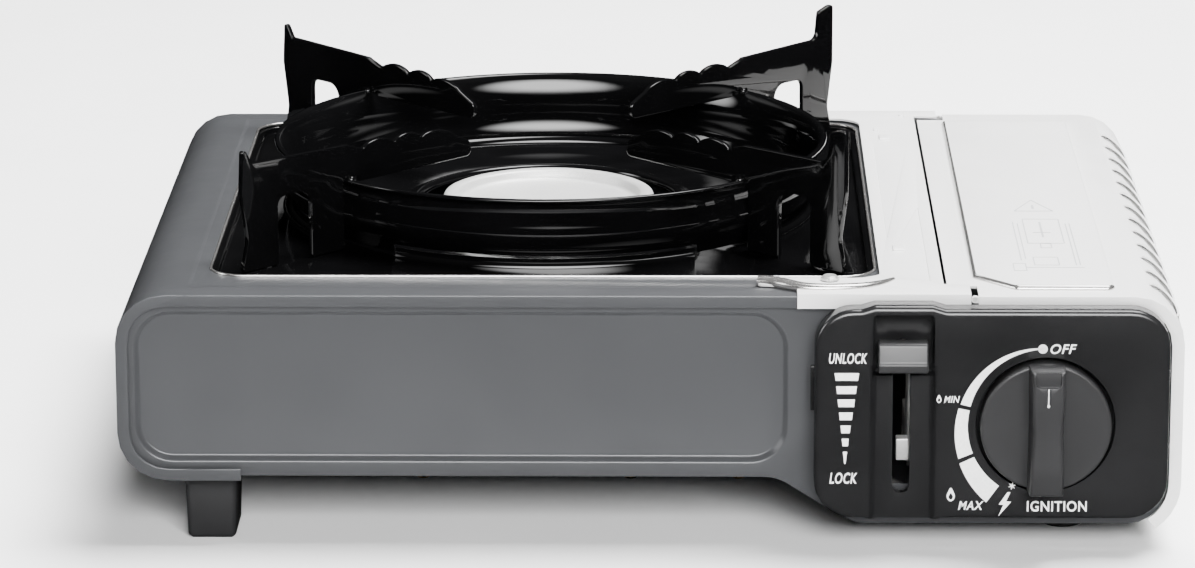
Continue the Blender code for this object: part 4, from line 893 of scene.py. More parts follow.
# ---------------------------------------------------------------- lid
LID_PANEL = ((275.2, 22.6, 0), (288.4, 8.0, 0), (318.6, 8.0, 0), (320.2, 10.4, 0),
             (320.2, 238.4, 0), (275.2, 238.4, 0))
LID_PANEL_FOOT = -0.7
LID_ROUND = 16.0
LOUVRE_COUNT = 13
LOUVRE_PITCH = 17.2
LOUVRE_FIRST = 15.5
LOUVRE_SLANT = math.radians(-38)
LOUVRE_HALF = 7.6
LOUVRE_WIDE = 3.6
LOUVRE_BACK = 1.3
LOUVRE_CLEAR = 0.15
LOUVRE_STEEL = 0.55
LINE_WIDE = 0.35
LINE_THICK = 0.05
# x and y of both ends, then the width where it isn't the usual one
DRAWN_LINES = (
    (293.5, 105, 306.5, 105), (306.5, 105, 300, 120), (300, 120, 293.5, 105),
    (300, 108, 300, 113, 0.8), (301, 70, 301, 90, 0.7), (298, 76, 304, 76, 0.5),
    (292, 90, 292, 40), (293.5, 88, 293.5, 42), (309.5, 88, 309.5, 34), (310.8, 88, 310.8, 34),
    (293, 31, 312, 31))
DRAWN_BOXES = ((295.5, 62, 307.5, 94), (299.5, 56, 303, 62), (296, 34, 304, 44),
               (289, 27, 293, 36))


class STOVE_OT_lid(Piece):
    """Silver lid over the cartridge bay with its raised panel and louvres"""

    bl_idname = "stove.lid"
    bl_label = "Lid"

    def execute(self, context):
        lid = copy_of("lid", "lid_pressing")
        soften(lid, 0.25 * MM, 3, 30)
        keep(lid, "lid_pressing", "lid", "silver_paint", "lid")
        top = DECK + sizes().panel_rise
        panel = plate("raised_panel", plan_view(LID_PANEL), "Z", DECK + LID_PANEL_FOOT * MM, top)
        bevel_edges(panel, lambda item: runs_along(item, "Z"), 1.0 * MM, 4)
        high = top - HAIR * MM
        pick(panel, "EDGE", lambda item: min(v.co.z for v in item.verts) > high)
        bpy.ops.mesh.bevel(offset=1.15 * MM, segments=6, profile=0.42, affect="EDGES")
        leave()
        smooth(panel, 45)
        keep(panel, "raised_panel", "lid", "silver_paint", "lid")
        self.paint_slope_reflection(panel)
        self.louvres()
        self.pictogram()
        return {"FINISHED"}

    def paint_slope_reflection(self, panel):
        """Painted reflection and shade: bright glossy metal only on the slope along the panel's
        left and front edges, to draw the dark and bright lines there.
        """
        panel.data.materials.append(finish("lip_metal_and_painted_highlight"))
        # Painted reflection: only the left- and front-facing slopes take the bright metal; the rest
        # of the panel stays silver paint.
        for face in panel.data.polygons:
            if face.normal.z < 0.97 and (face.normal.x < -0.2 or face.normal.y < -0.2):
                face.material_index = len(panel.data.materials) - 1

    def louvres(self):
        """Lanced hoods over the slots in the lid's rounded edge, open towards the front."""
        deselect()
        bpy.ops.mesh.primitive_grid_add(x_subdivisions=20, y_subdivisions=5, size=2)
        hood = bpy.context.object
        settle(hood)
        along = Vector((math.cos(LOUVRE_SLANT), math.sin(LOUVRE_SLANT)))
        across = Vector((-along.y, along.x))
        height = sizes().louvre_rise / MM
        for vertex in hood.data.vertices:
            share = (vertex.co.y + 1) / 2
            spot = (along * vertex.co.x * LOUVRE_HALF
                    + across * (share * LOUVRE_WIDE - LOUVRE_BACK))
            bulge = max(1 - vertex.co.x ** 2, 0.0) ** 0.4
            reach = LID_ROUND + LOUVRE_CLEAR + height * bulge * (1 - share) ** 0.8
            turn = math.pi / 4 + spot.x / LID_ROUND
            vertex.co = at(LID_RIGHT - LID_ROUND + reach * math.sin(turn), LOUVRE_FIRST + spot.y,
                           -LID_ROUND + reach * math.cos(turn))
        pick(hood, "FACE", lambda face: True)
        bpy.ops.mesh.normals_make_consistent(inside=False)
        leave()
        modify(hood, "SOLIDIFY", thickness=LOUVRE_STEEL * MM, offset=-1)
        merge(hood)
        smooth(hood, 50)
        hoods = [hood]
        for index in range(1, LOUVRE_COUNT):
            hoods.append(moved(hood, (0, LOUVRE_PITCH * index, 0)))
        keep(joined("louvre_hoods", hoods), "louvre_hoods", "lid", "silver_paint")

    def pictogram(self):
        """Faint printed drawing of how a cartridge lies in the bay."""
        low = DECK + sizes().panel_rise + LINE_THICK * MM
        strokes = list(DRAWN_LINES)
        for x0, y0, x1, y1 in DRAWN_BOXES:
            strokes += [(x0, y0, x1, y0), (x1, y0, x1, y1), (x1, y1, x0, y1), (x0, y1, x0, y0)]
        lines = []
        for x0, y0, x1, y1, *width in strokes:
            run = Vector((x1 - x0, y1 - y0))
            side = Vector((-run.y, run.x)).normalized() * (width or [LINE_WIDE])[0] / 2
            shape = [(x0 + side.x, y0 + side.y), (x0 - side.x, y0 - side.y),
                     (x1 - side.x, y1 - side.y), (x1 + side.x, y1 + side.y)]
            lines.append(plate("line", plan_view(shape), "Z", low, low + LINE_THICK * MM))
        made = joined("lid_drawing", lines)
        keep(made, "lid_drawing", "lid", "grey_print")


# ---------------------------------------------------------------- drip pan
# left, front, right and back edges and the corner radius
WELL = (27.4, 25.0, 244.7, 241.0, 12.0)
PAN_FLOOR = -3.1
BEAD_CENTRE = -3.6
BEAD_RING = 88.6
BEAD_SQUASH = 0.85
BEAD_ROOM = 12
ARCH_HALF = 49.4
# radius and height
COLLAR = ((44.2, -0.6), (44.2, 0.4), (44.6, 1.2), (45.4, 1.7), (46.6, 1.7), (47.6, 1.2),
          (48.6, 0.4), (50.5, 0.05), (50.5, -0.6))
RIM_INSET = 0.55
RIM_DEPTH = 0.45
RIM_RADIUS = 0.5


class STOVE_OT_pan(Piece):
    """Enamelled drip pan with its round bead and burner collar"""

    bl_idname = "stove.pan"
    bl_label = "Drip pan"

    def execute(self, context):
        pan = copy_of("drip_pan", "pan_pressing")
        soften(pan, sizes().sheet_edge, 3, 30)
        keep(pan, "pan_pressing", BODY, "black_enamel", "drip_pan")
        keep(self.bead(), "pan_bead", BODY, "black_enamel")
        keep(self.collar(), "pan_collar", BODY, "black_enamel")
        # Painted highlight: the enamel pan's rim gets bright metal so that it shows as a light
        # line.
        keep(self.rim(), "pan_rim", BODY, "lip_metal_and_painted_highlight")
        return {"FINISHED"}

    def bead(self):
        """Round bead in the pan's floor, seen through the ring's four arches."""
        centre = RING_PLACE + Vector((0, 0, BEAD_CENTRE * MM))
        deselect()
        bpy.ops.mesh.primitive_torus_add(
            location=centre, major_radius=BEAD_RING * MM, minor_radius=sizes().bead_radius,
            major_segments=144, minor_segments=24)
        bead = bpy.context.object
        settle(bead)
        for vertex in bead.data.vertices:
            vertex.co.z = centre.z + (vertex.co.z - centre.z) * BEAD_SQUASH
        pieces = []
        reach = (BEAD_RING + BEAD_ROOM) * MM
        half = ARCH_HALF * MM
        for x0, y0, x1, y1 in ((-half, -reach, half, 0), (-half, 0, half, reach),
                               (-reach, -half, 0, half), (0, -half, reach, half)):
            part = moved(bead, (0, 0, 0))
            arch = cube("arch", centre + Vector((x0, y0, -10 * MM)),
                        centre + Vector((x1, y1, 10 * MM)))
            combine(part, arch, "INTERSECT")
            pieces.append(part)
        bpy.data.objects.remove(bead, do_unlink=True)
        made = joined("pan_bead", pieces)
        smooth(made, 50)
        return made

    def collar(self):
        """Raised collar round the burner hole."""
        place = BURNER_PLACE + Vector((0, 0, PAN_FLOOR * MM))
        collar = lathe("pan_collar", COLLAR, place, 96)
        smooth(collar, 50)
        return collar

    def rim(self):
        """Thin edge of the pan against the deck's sheet, in bright metal as a painted highlight
        line along the well's edge.
        """
        low_x, low_y, high_x, high_y, radius = WELL
        outline = rounded(plan_view(box_outline(
            low_x + RIM_INSET, low_y + RIM_INSET, high_x - RIM_INSET, high_y - RIM_INSET,
            radius - RIM_INSET)), 10)
        level = DECK - RIM_DEPTH * MM
        places = [(*corner[:2], level) for corner in outline]
        curve, spline = curve_through("pan_rim", "POLY", places)
        curve.bevel_depth = RIM_RADIUS * MM
        curve.bevel_resolution = 3
        spline.use_cyclic_u = True
        rim = to_mesh("pan_rim", curve)
        merge(rim)
        smooth(rim, 60)
        return rim


# ---------------------------------------------------------------- burner
class STOVE_OT_burner(Piece):
    """Cast burner head with a dished top"""

    bl_idname = "stove.burner"
    bl_label = "Burner head"

    def execute(self, context):
        rim = (cap_high.x - cap_low.x) / 2 / MM
        top = (cap_high.z - DECK) / MM
        foot = (cap_low.z - DECK) / MM
        profile = [
            (0, foot + 2), (rim - 4, foot + 2), (rim - 3.4, foot), (rim - 1, foot),
            (rim - 0.3, foot + 0.4), (rim, foot + 1.2), (rim, top - 1.4), (rim - 0.5, top - 0.4),
            (rim - 1.6, top), (rim - 4.4, top - 0.1), (rim - 5.0, top - 0.6),
            (rim - 5.4, top - 2.0), (rim - 6.2, top - 2.9), (rim - 8, top - 3.2), (0, top - 3.2)]
        head = lathe("burner_head", profile, BURNER_PLACE, 128)
        smooth(head, 50)
        keep(head, "burner_head", BODY, "cast_alloy", "burner_cap")
        return {"FINISHED"}


# ---------------------------------------------------------------- pan support
# radius and height, from the lip down outside, up inside, and round the lip
RING_OUTSIDE = (
    (94.4, 19.7), (93.6, 19.5), (92.4, 18.9), (91.6, 17.6), (91.3, 15.5), (91.5, 13.0),
    (92.1, 10.8), (92.5, 9.2), (92.6, 8.2), (92.4, 7.0), (91.6, 5.0), (90.0, 2.4), (88.0, -0.6),
    (86.9, -2.8))
RING_LIP = ((94.6, 20.1), (94.45, 20.6), (94.0, 20.85), (93.1, 20.8), (92.4, 20.3))
RING_INSIDE = (
    (85.5, -2.8), (86.5, -0.6), (87.7, 2.4), (88.5, 5.0), (88.9, 8.5), (89.3, 11.5), (89.8, 14.2),
    (90.5, 16.6), (91.4, 18.7))
# half width, reach, foot and top of the openings
RING_ARCH = (50, 110, -10, 0.4)
ARM_HALF = 0.95
ARM_FOOT = -2.8
ARM_TOP = 33.5
ARM_REACH = 139.5
# reach and height of the valleys between the humps
LOBES = ((86.2, 30.1), (72.3, 30.0), (60.0, 29.7), (45.2, 28.0))
LOBE_RISES = (2.3, 2.3, 2.0)
WELD_PLACE = (92.6, 20.6)
WELD_SIDE = 1.7
WELD_RADIUS = 1.3


def lobe(start, end, rise, steps=10):
    """Rounded hump between two valleys of an arm's top edge."""
    points = []
    for step in range(1, steps):
        share = step / steps
        height = start[1] + (end[1] - start[1]) * share
        points.append((start[0] + (end[0] - start[0]) * share,
                       height + rise * math.sin(math.pi * share) ** 0.62))
    return points


def arm_outline(guard):
    """Side view of one arm as (reach, height) in millimetres."""
    outer = [
        (95.3, ARM_FOOT, 1), (109.5, ARM_FOOT, 1), (109.5, 20, 5), (123.8, 20, 3),
        (123.8, ARM_FOOT, 1), (ARM_REACH, ARM_FOOT, 1.5), (ARM_REACH - 2.6, 8, 9),
        (ARM_REACH, 24, 7)]
    if guard:
        outer += [(ARM_REACH, 45, 1.2), (ARM_REACH - 2.2, 45, 1), (ARM_REACH - 7.2, 43.4, 1),
                  (ARM_REACH - 8.4, ARM_TOP, 3)]
    else:
        outer += [(ARM_REACH - 0.8, ARM_TOP + 4.4, 0.8), (ARM_REACH - 2.4, ARM_TOP + 4.2, 0.8),
                  (ARM_REACH - 5, ARM_TOP, 1)]
    points = [tuple(point) for point in rounded(outer + [(93, ARM_TOP - 0.9, 1), (90, 29, 0)], 6)]
    points = points[:-1]
    points.append(LOBES[0])
    for start, end, rise in zip(LOBES, LOBES[1:], LOBE_RISES):
        points += lobe(start, end, rise)
        points.append(end)
    tip = rounded([(44.5, 27.9, 0), (38.2, 24.6, 2.4), (37.6, 19.5, 2.2), (88.2, 19.2, 0),
                   (88.2, 21.2, 0), (95.3, 21.2, 0)], 6)
    return points + [tuple(point) for point in tip[1:]]


class STOVE_OT_support(Piece):
    """Enamelled ring and four notched arms that carry the pan"""

    bl_idname = "stove.support"
    bl_label = "Pan support"

    def execute(self, context):
        keep(self.ring(), "ring_enamelled", "pan_support", "black_enamel", "support_ring")
        for index, corner in enumerate(("back_right", "back_left", "front_left", "front_right")):
            arm = self.arm(corner, 45 + 90 * index)
            keep(arm, "arm_" + corner, "pan_support", "black_enamel", "support_arm_" + corner)
        keep(self.welds(), "arm_welds", "pan_support", "black_enamel")
        return {"FINISHED"}

    def ring(self):
        """Ring with its rolled lip and four arches over the pan's bead."""
        ring = lathe("support_ring", RING_OUTSIDE + RING_INSIDE + RING_LIP[::-1], RING_PLACE, 180)
        half, reach, low, high = [value * MM for value in RING_ARCH]
        for x, y in ((half, reach), (reach, half)):
            cut(ring, cube("arch", RING_PLACE + Vector((-x, -y, low)),
                           RING_PLACE + Vector((x, y, high))))
        round_edges(ring, 0.3 * MM, 50)
        smooth(ring, 50)
        return ring

    def arm(self, corner, degrees):
        """One arm, turned to its corner; the right-hand arms have guards."""
        outline = [(u * MM, v * MM) for u, v in arm_outline(corner.endswith("right"))]
        arm = plate("arm", outline, "Y", -ARM_HALF * MM, ARM_HALF * MM)
        soften(arm, 0.7 * MM, 5, 40)
        turn = Matrix.Rotation(math.radians(degrees), 4, "Z")
        arm.data.transform(Matrix.Translation(RING_PLACE) @ turn)
        return arm

    def welds(self):
        """Small domes where the arms are welded over the ring's lip."""
        domes = []
        for index in range(4):
            angle = math.radians(45 + 90 * index)
            for side in (-1, 1):
                ray = Vector((math.cos(angle), math.sin(angle)))
                spot = ray * WELD_PLACE[0] + Vector((-ray.y, ray.x)) * side * WELD_SIDE
                deselect()
                bpy.ops.mesh.primitive_uv_sphere_add(
                    segments=20, ring_count=10, radius=WELD_RADIUS * MM,
                    location=RING_PLACE + Vector((*spot, WELD_PLACE[1])) * MM)
                domes.append(bpy.context.object)
        made = joined("arm_welds", domes)
        smooth(made, 60)
        return made


# ---------------------------------------------------------------- control panel
PANEL_FRONT = -9.0
VALLEY_DEPTH = 3.0
VALLEY = (241.3, 262.8)
VALLEY_SLOPE = 3.2
VALLEY_LEAD = 0.5
VALLEY_FRONT = -14
PANEL_BACK = -1.4
PANEL_ROUND = 2.0
VALLEY_LEVELS = (-80, -20)
CORNER = 12.5
SWELL = 1.3
KNOB_WELL = 22.3
POCKET = ((242.2, -12, -24.5), (261.9, PANEL_FRONT + 6.2, -3.7))
LEVER_SLOT = (248.8, -63.6, 254.4, -13, 2.7)
CATCH = ((250.1, -3.6, -53.4), (254.2, 1.4, -46.2))
# left, right, foot and top
CLIPS = ((222.6, 224.1, -36.6, -22.0), (336.5, 337.4, -27.5, -23.2), (336.5, 337.4, -53.0, -48.6))
CLIP_DEPTH = (-4.2, -1.6)
# radius, thickness and place from front to back
SEAT = (23, 1.0, -3.2)
STEM_HOLE = 5.5


def panel_outline():
    """Front view of the control panel with the swelling round its lever channel."""
    low_x, high_x = (223.8, 336.8)
    top, bottom = (-2.2, -71.3)
    left, right = VALLEY
    return rounded(front_view([
        (low_x, bottom, CORNER), (left - 1.5, bottom, 1.5), (left, bottom - 0.5, 1.5),
        (right, bottom - 0.5, 1.5), (right + 1.5, bottom, 1.5), (high_x, bottom, CORNER),
        (high_x, top, CORNER), (right + 2.8, top, 2), (right - 1.5, top + SWELL, 2.5),
        (left + 1.5, top + SWELL, 2.5), (left - 2.8, top, 2), (low_x, top, CORNER)]), 8)


class STOVE_OT_fascia(Piece):
    """Moulded control panel with its lever channel"""

    bl_idname = "stove.fascia"
    bl_label = "Control panel"

    def execute(self, context):
        front = FRONT + PANEL_FRONT * MM
        panel = plate("control_panel", panel_outline(), "Y", front, FRONT + PANEL_BACK * MM)
        edge = front + HAIR * MM
        bevel_edges(panel, lambda item: middle(item).y < edge, PANEL_ROUND * MM, 6)
        recess = disc("recess", Vector((KNOB_CENTRE.x, front, KNOB_CENTRE.z)), KNOB_WELL * MM,
                      10 * MM, 128)
        low, high = [DECK + level * MM for level in VALLEY_LEVELS]
        valley = plate("valley", self.valley_outline(), "Z", low, high)
        pocket = cube("pocket", at(*POCKET[0]), at(*POCKET[1]))
        bevel_edges(pocket, lambda item: True, 1.6 * MM, 4)
        slot = plate("slot", rounded(front_view(box_outline(*LEVER_SLOT)), 8),
                     "Y", FRONT - 12 * MM, FRONT + MM)
        cut(panel, recess, valley, pocket, slot)
        round_edges(panel, 0.45 * MM, 40)
        smooth(panel, 40)
        keep(panel, "control_panel", BODY, "black_plastic", "fascia")
        keep(self.catch(), "slot_catch", BODY, "plated_steel")
        keep(self.clips(), "side_clips", BODY, "black_plastic")
        keep(self.floor_ring(), "knob_seat", BODY, "black_plastic")
        return {"FINISHED"}

    def valley_outline(self):
        """Plan of the soft channel that the lever slides in."""
        left, right = VALLEY
        side = [(-VALLEY_LEAD, VALLEY_FRONT)]
        for step in range(9):
            share = step / 8
            side.append((VALLEY_SLOPE * share - VALLEY_LEAD,
                         PANEL_FRONT - 0.02 + VALLEY_DEPTH * ease(share, 0, 1)))
        side.append((4, PANEL_FRONT + VALLEY_DEPTH))
        return plan_view([(left + x, y) for x, y in side]
                         + [(right - x, y) for x, y in reversed(side)])

    def catch(self):
        """Bright end of the lock's guide, seen through the slot."""
        catch = cube("slot_catch", at(*CATCH[0]), at(*CATCH[1]))
        soften(catch, 0.4 * MM, 3)
        return catch

    def clips(self):
        """Small catches on the panel's left and right edges."""
        made = []
        for left, right, low, high in CLIPS:
            clip = cube("clip", at(left, CLIP_DEPTH[0], low), at(right, CLIP_DEPTH[1], high))
            soften(clip, 0.3 * MM, 2)
            made.append(clip)
        return joined("side_clips", made)

    def floor_ring(self):
        """Floor of the knob's recess."""
        radius, depth, level = SEAT
        centre = Vector((KNOB_CENTRE.x, FRONT + level * MM, KNOB_CENTRE.z))
        seat = disc("knob_seat", centre, radius * MM, depth * MM)
        cut(seat, disc("stem_hole", centre, STEM_HOLE * MM, 4 * MM, 32))
        return seat


# text, left, right, foot, top and lean
WORDS = (
    ("OFF", 298.5, 306.8, -16.3, -13.1, 0.25), ("MIN", 265.0, 270.0, -32.5, -30.3, 0.25),
    ("MAX", 270.0, 278.1, -68.2, -65.3, 0.25), ("IGNITION", 292.0, 311.1, -68.7, -65.2, 0.0),
    ("UNLOCK", 228.3, 240.4, -19.7, -16.2, 0.2), ("LOCK", 228.8, 237.6, -59.6, -55.9, 0.2))
BAR_HALVES = (3.9, 3.3, 2.75, 2.2, 1.6, 1.1, 0.65)
BAR_SLANTS = (0.35, 0.35, 0.3, 0.3, 0.3, 0.25, 0.45)
BAR_HEIGHTS = (2.5, 2.5, 2.5, 2.5, 2.5, 2.5, 4.0)
BAR_FIRST = (234.0, -22.8)
BAR_PITCH = (0.06, 4.35)
OFF_DOT = (296.1, -14.7, 1.5)
# x, z and size
FLAMES = ((263.4, -31.4, 1.0), (267.6, -63.4, 1.7))
BOLT = ((285.7, -62.3), (283.0, -66.4), (284.5, -66.5), (282.9, -70.3), (286.9, -65.5),
        (285.3, -65.3), (286.6, -62.3))
# x, z, radius at the points and between them
SPARK = (287.1, -60.2, 1.35, 0.4)


class STOVE_OT_legends(Piece):
    """White printed legends of the control panel"""

    bl_idname = "stove.legends"
    bl_label = "Legends"

    def execute(self, context):
        prints = [word("legend_" + text.lower(), text, *places) for text, *places in WORDS]
        prints += [self.bar(index) for index in range(len(BAR_HALVES))]
        x, z, radius = OFF_DOT
        prints.append(disc("dot", at(x, 0, z), radius * MM, 2 * PRINT_HALF, 32))
        prints += self.scale_marks() + self.signs()
        made = joined("legends", prints)
        made.data.transform(Matrix.Translation((0, (PANEL_FACE - 0.02) * MM, 0)))
        keep(made, "legends", BODY, "white_print")
        return {"FINISHED"}

    def bar(self, index):
        """One of the seven bars that taper from UNLOCK down to LOCK."""
        half = BAR_HALVES[index]
        foot = half - BAR_SLANTS[index]
        middle_x = BAR_FIRST[0] - index * BAR_PITCH[0]
        top = BAR_FIRST[1] - index * BAR_PITCH[1]
        bottom = top - BAR_HEIGHTS[index]
        return printed("bar", [(middle_x - half, top), (middle_x + half, top),
                               (middle_x + foot, bottom), (middle_x - foot, bottom)])

    def sector(self, first, last, inner, outer, steps=12):
        """Band round the knob between two angles; the radii run from one end to the other."""
        centre = Vector((KNOB_X, KNOB_Z))
        near = []
        far = []
        for step in range(steps + 1):
            share = step / steps
            angle = math.radians(first + (last - first) * share)
            ray = Vector((math.cos(angle), math.sin(angle)))
            near.append(centre + ray * (inner[0] + (inner[1] - inner[0]) * share))
            far.append(centre + ray * (outer[0] + (outer[1] - outer[0]) * share))
        return printed("sector", far + near[::-1])

    def scale_marks(self):
        """Flame scale that widens from OFF to MAX."""
        return [
            self.sector(93, 166, (25.0, 24.7), (25.4, 27.9), 24),
            self.sector(169, 202.5, (24.7, 24.9), (28.2, 29.8)),
            self.sector(205.5, 234.5, (25.0, 25.0), (30.1, 31.8)),
        ]

    def signs(self):
        """Flames beside MIN and MAX, and the spark beside IGNITION."""
        made = []
        for x, z, size in FLAMES:
            drop = []
            for step in range(16):
                angle = 2 * math.pi * step / 16
                pinch = 1 - 0.55 * max(math.sin(angle), 0)
                drop.append((x + size * 0.78 * math.cos(angle) * pinch,
                             z + size * (1.15 * math.sin(angle) + 0.35 * max(math.sin(angle), 0))))
            shape = printed("flame", drop)
            hole = [(x + (u - x) * 0.55, z - 0.25 * size + (v - z) * 0.5) for u, v in drop]
            cut(shape, plate("flame_hole", front_view(hole), "Y", FRONT - MM, FRONT + MM))
            made.append(shape)
        made.append(printed("bolt", BOLT))
        x, z, tip, waist = SPARK
        star = []
        for step in range(12):
            angle = math.pi * step / 6 + 0.3
            radius = waist if step % 2 else tip
            star.append((x + radius * math.cos(angle), z + radius * math.sin(angle)))
        made.append(printed("spark", star))
        return made


KNOB_RADIUS = 20.9
KNOB_DISC = -13.0
KNOB_FACE = -22.0
GRIP_HALF = 5.2
GRIP_LENGTH = KNOB_RADIUS - 0.2
GRIP_PLANE = -17
GRIP_WAIST = 0.13
GRIP_FLARE = 1.12
POINTER_HALF = 0.45
POINTER_END = KNOB_Z + KNOB_RADIUS - 11.2


class STOVE_OT_knob(Piece):
    """Round gas knob with its grip bar and pointer"""

    bl_idname = "stove.knob"
    bl_label = "Knob"

    def execute(self, context):
        x = KNOB_X
        radius = KNOB_RADIUS
        end = KNOB_Z + radius
        profile = [
            (0, 13.3), (6, 13.25), (12, 13.1), (17, 12.9), (radius - 1.4, 12.7),
            (radius - 0.8, 12.75), (radius - 0.35, 12.6), (radius - 0.08, 12.2), (radius, 11.6),
            (radius, 4.9), (radius - 0.3, 4.5), (radius - 2, 4.5), (radius - 2, 10.6), (0, 10.6)]
        face = lathe("gas_knob", profile, Vector((KNOB_CENTRE.x, FRONT, KNOB_CENTRE.z)), 128, "Y")
        bar = self.bar()
        recess = plate("recess", rounded(front_view(box_outline(
            x - 3.9, end - 5.3, x + 3.9, end + 3, 1.6)), 6), "Y",
            FRONT - 30 * MM, FRONT + (KNOB_FACE + 1.3) * MM)
        groove = cube("groove", at(x - POINTER_HALF, -30, end - 11.6),
                      at(x + POINTER_HALF, KNOB_FACE + 0.9, end - 4.8))
        bevel_edges(groove, lambda item: runs_along(item, "Y"), 0.4 * MM, 4)
        cut(bar, recess, groove)
        round_edges(bar, 0.3 * MM, 50)
        smooth(bar, 40)
        smooth(face, 50)
        keep(face, "gas_knob", "knob", "knob_plastic", "knob")
        keep(bar, "grip_bar", "knob", "knob_plastic", "knob")
        dot = disc("pointer_dot", at(x, KNOB_FACE + 0.75, POINTER_END), 0.5 * MM, 0.5 * MM, 24)
        stroke = cube("stroke", at(x - 0.18, KNOB_FACE + 0.6, POINTER_END),
                      at(x + 0.18, KNOB_FACE + 0.95, end - 5.6))
        dot = joined("pointer_dot", [dot, stroke])
        keep(dot, "pointer_dot", "knob", "white_print")
        return {"FINISHED"}

    def bar(self):
        """Grip bar with a waist and a slanted lower end."""
        x = KNOB_X
        z = KNOB_Z
        length = GRIP_LENGTH
        bar = cube("grip_bar", at(x - GRIP_HALF, KNOB_FACE, z - length),
                   at(x + GRIP_HALF, KNOB_DISC + 1.5, z + length))
        slice_grid(bar, "Z", spaced(z - length + 2, z + length - 2, 3))

        def shape(place):
            """Waist, flared root and slanted ends of the bar."""
            if place.y >= GRIP_PLANE:
                return ((place.x - x) * (GRIP_FLARE - 1), 0, 0)
            level = (place.z - z) / length
            waist = GRIP_WAIST * math.exp(-(level / 0.34) ** 2)
            back = 1.7 * ease(-level, 0.62, 1.0) + 0.7 * ease(level, 0.5, 1.0)
            return ((x - place.x) * waist, back, 0)

        push(bar, shape)
        front = at(0, GRIP_PLANE, 0).y
        bevel_edges(bar, lambda item: middle(item).y < front and self.is_outer(item), 1.1 * MM, 4)
        return bar

    def is_outer(self, item):
        """Whether an edge runs along the bar or lies at one of its ends."""
        level = (middle(item).z - DECK) / MM - KNOB_Z
        slope = abs(item.verts[0].co.z - item.verts[1].co.z)
        return runs_along(item, "Z") or slope > 0.5 * MM or abs(abs(level) - GRIP_LENGTH) < 0.3


THUMB_BACK = PANEL_FRONT + VALLEY_DEPTH - 0.35
# y, z and radius of the side view's corners
THUMB_SIDE = ((THUMB_BACK, -12.3, 0.6), (-11.8, -12.3, 1.6), (-13.4, -18.2, 1.6),
              (-14.0, -19.0, 0.8), (-14.0, -21.7, 1.0), (THUMB_BACK, -21.7, 0.6))
THUMB_WIDE = (243.9, 259.7)
SHANK = ((248.95, THUMB_BACK - 1, -21), (249.75, 13, -17))
SHANK_HEAD = ((248.95, 9, -21), (252.2, 12.2, -17))


class STOVE_OT_lever(Piece):
    """Thumb piece of the cartridge lock lever"""

    bl_idname = "stove.lever"
    bl_label = "Lock lever"

    def execute(self, context):
        outline = rounded([(FRONT + y * MM, DECK + z * MM, r * MM) for y, z, r in THUMB_SIDE], 6)
        low, high = THUMB_WIDE
        thumb = plate("thumb_piece", outline, "X", LEFT + low * MM, LEFT + high * MM)
        soften(thumb, 0.9 * MM, 4, 50)
        unite(thumb, *[cube("shank", at(*near), at(*far)) for near, far in (SHANK, SHANK_HEAD)])
        smooth(thumb, 50)
        keep(thumb, "thumb_piece", "lever", "knob_plastic", "lever_thumb")
        return {"FINISHED"}


# ---------------------------------------------------------------- feet, screws, insides
class STOVE_OT_legs(Piece):
    """Plastic legs and rubber feet"""

    bl_idname = "stove.legs"
    bl_label = "Legs and feet"

    def execute(self, context):
        for node, material, width in (
                ("leg_front", "knob_plastic", 0.9), ("leg_back", "knob_plastic", 0.9),
                ("foot_front", "rubber", 0.8), ("foot_back", "rubber", 0.8)):
            leg = copy_of(node, node + "_moulded")
            soften(leg, width * MM, 4, 30)
            keep(leg, node + "_moulded", BODY, material, node)
        return {"FINISHED"}


CARRIED = {
    "cast_alloy": ("burner_bowl", "mixing_tube", "gas_valve"),
    "plated_steel": ("burner_bracket", "heat_shield", "cartridge_carriage", "cartridge_cradle",
                     "valve_bracket", "electrode_bracket", "lever_plate", "electrode_pin",
                     "lid_pin_front", "lid_pin_back", "clip_screw", "valve_stem", "gas_pipe"),
    "brass": ("base_screw_1", "base_screw_2", "base_screw_3", "gas_nozzle"),
    "rubber": ("cartridge_seal",),
    "black_plastic": ("igniter_body", "igniter_cam", "igniter_plunger"),
    "ceramic": ("electrode_insulator",),
    "wire_cover": ("ignition_wire",),
}


class STOVE_OT_insides(Piece):
    """Finishes of the pieces that keep the frame's own shape"""

    bl_idname = "stove.insides"
    bl_label = "Inner pieces"

    def execute(self, context):
        for material, nodes in CARRIED.items():
            for node in nodes:
                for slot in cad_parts[node].material_slots:
                    slot.material = finish(material)
        return {"FINISHED"}


# ---------------------------------------------------------------- stage
EYE = Vector((0.01203, -1.7187, 0.51977))
EYE_YAW = math.radians(-1.0159)
EYE_PITCH = math.radians(15.071)
EYE_ROLL = math.radians(-0.155)
EYE_LENS = 156.95
SENSOR = 36
FLOOR_WIDE = 14
AIR_LEVELS = (0.2, 0.9, 0.03, 1.6)
SCREEN_FADE = 0.7
# name, place, target, width, height, power
SOFTBOXES = (
    ("softbox_top", (0.6, 0.35, 2.0), (0, 0, 0), 1.3, 1.0, 250),
    ("softbox_front", (0.5, -2.4, 1.2), (0, 0, 0.05), 1.3, 0.9, 150))
# name, place, target, width, height, strength
SCREENS = (
    ("screen_front", (0.1, -2.4, 1.5), (0, 0, 0.05), 3.6, 1.9, 30),
    ("screen_top", (0.5, 0.4, 2.0), (0, 0, 0), 1.9, 1.4, 24),
    ("screen_left", (-2.0, -0.3, 0.9), (0, 0, 0.05), 1.0, 1.4, 14))


def area_light(name, place, target, wide, tall, energy):
    """Rectangular soft light at a place, turned to face a target."""
    deselect()
    bpy.ops.object.light_add(type="AREA", location=place)
    lamp = bpy.context.object
    lamp.name = name
    lamp.data.shape = "RECTANGLE"
    lamp.data.size = wide
    lamp.data.size_y = tall
    lamp.data.energy = energy
    lamp.rotation_euler = (Vector(target) - Vector(place)).to_track_quat("-Z", "Y").to_euler()
    lamp.visible_glossy = False
    return lamp


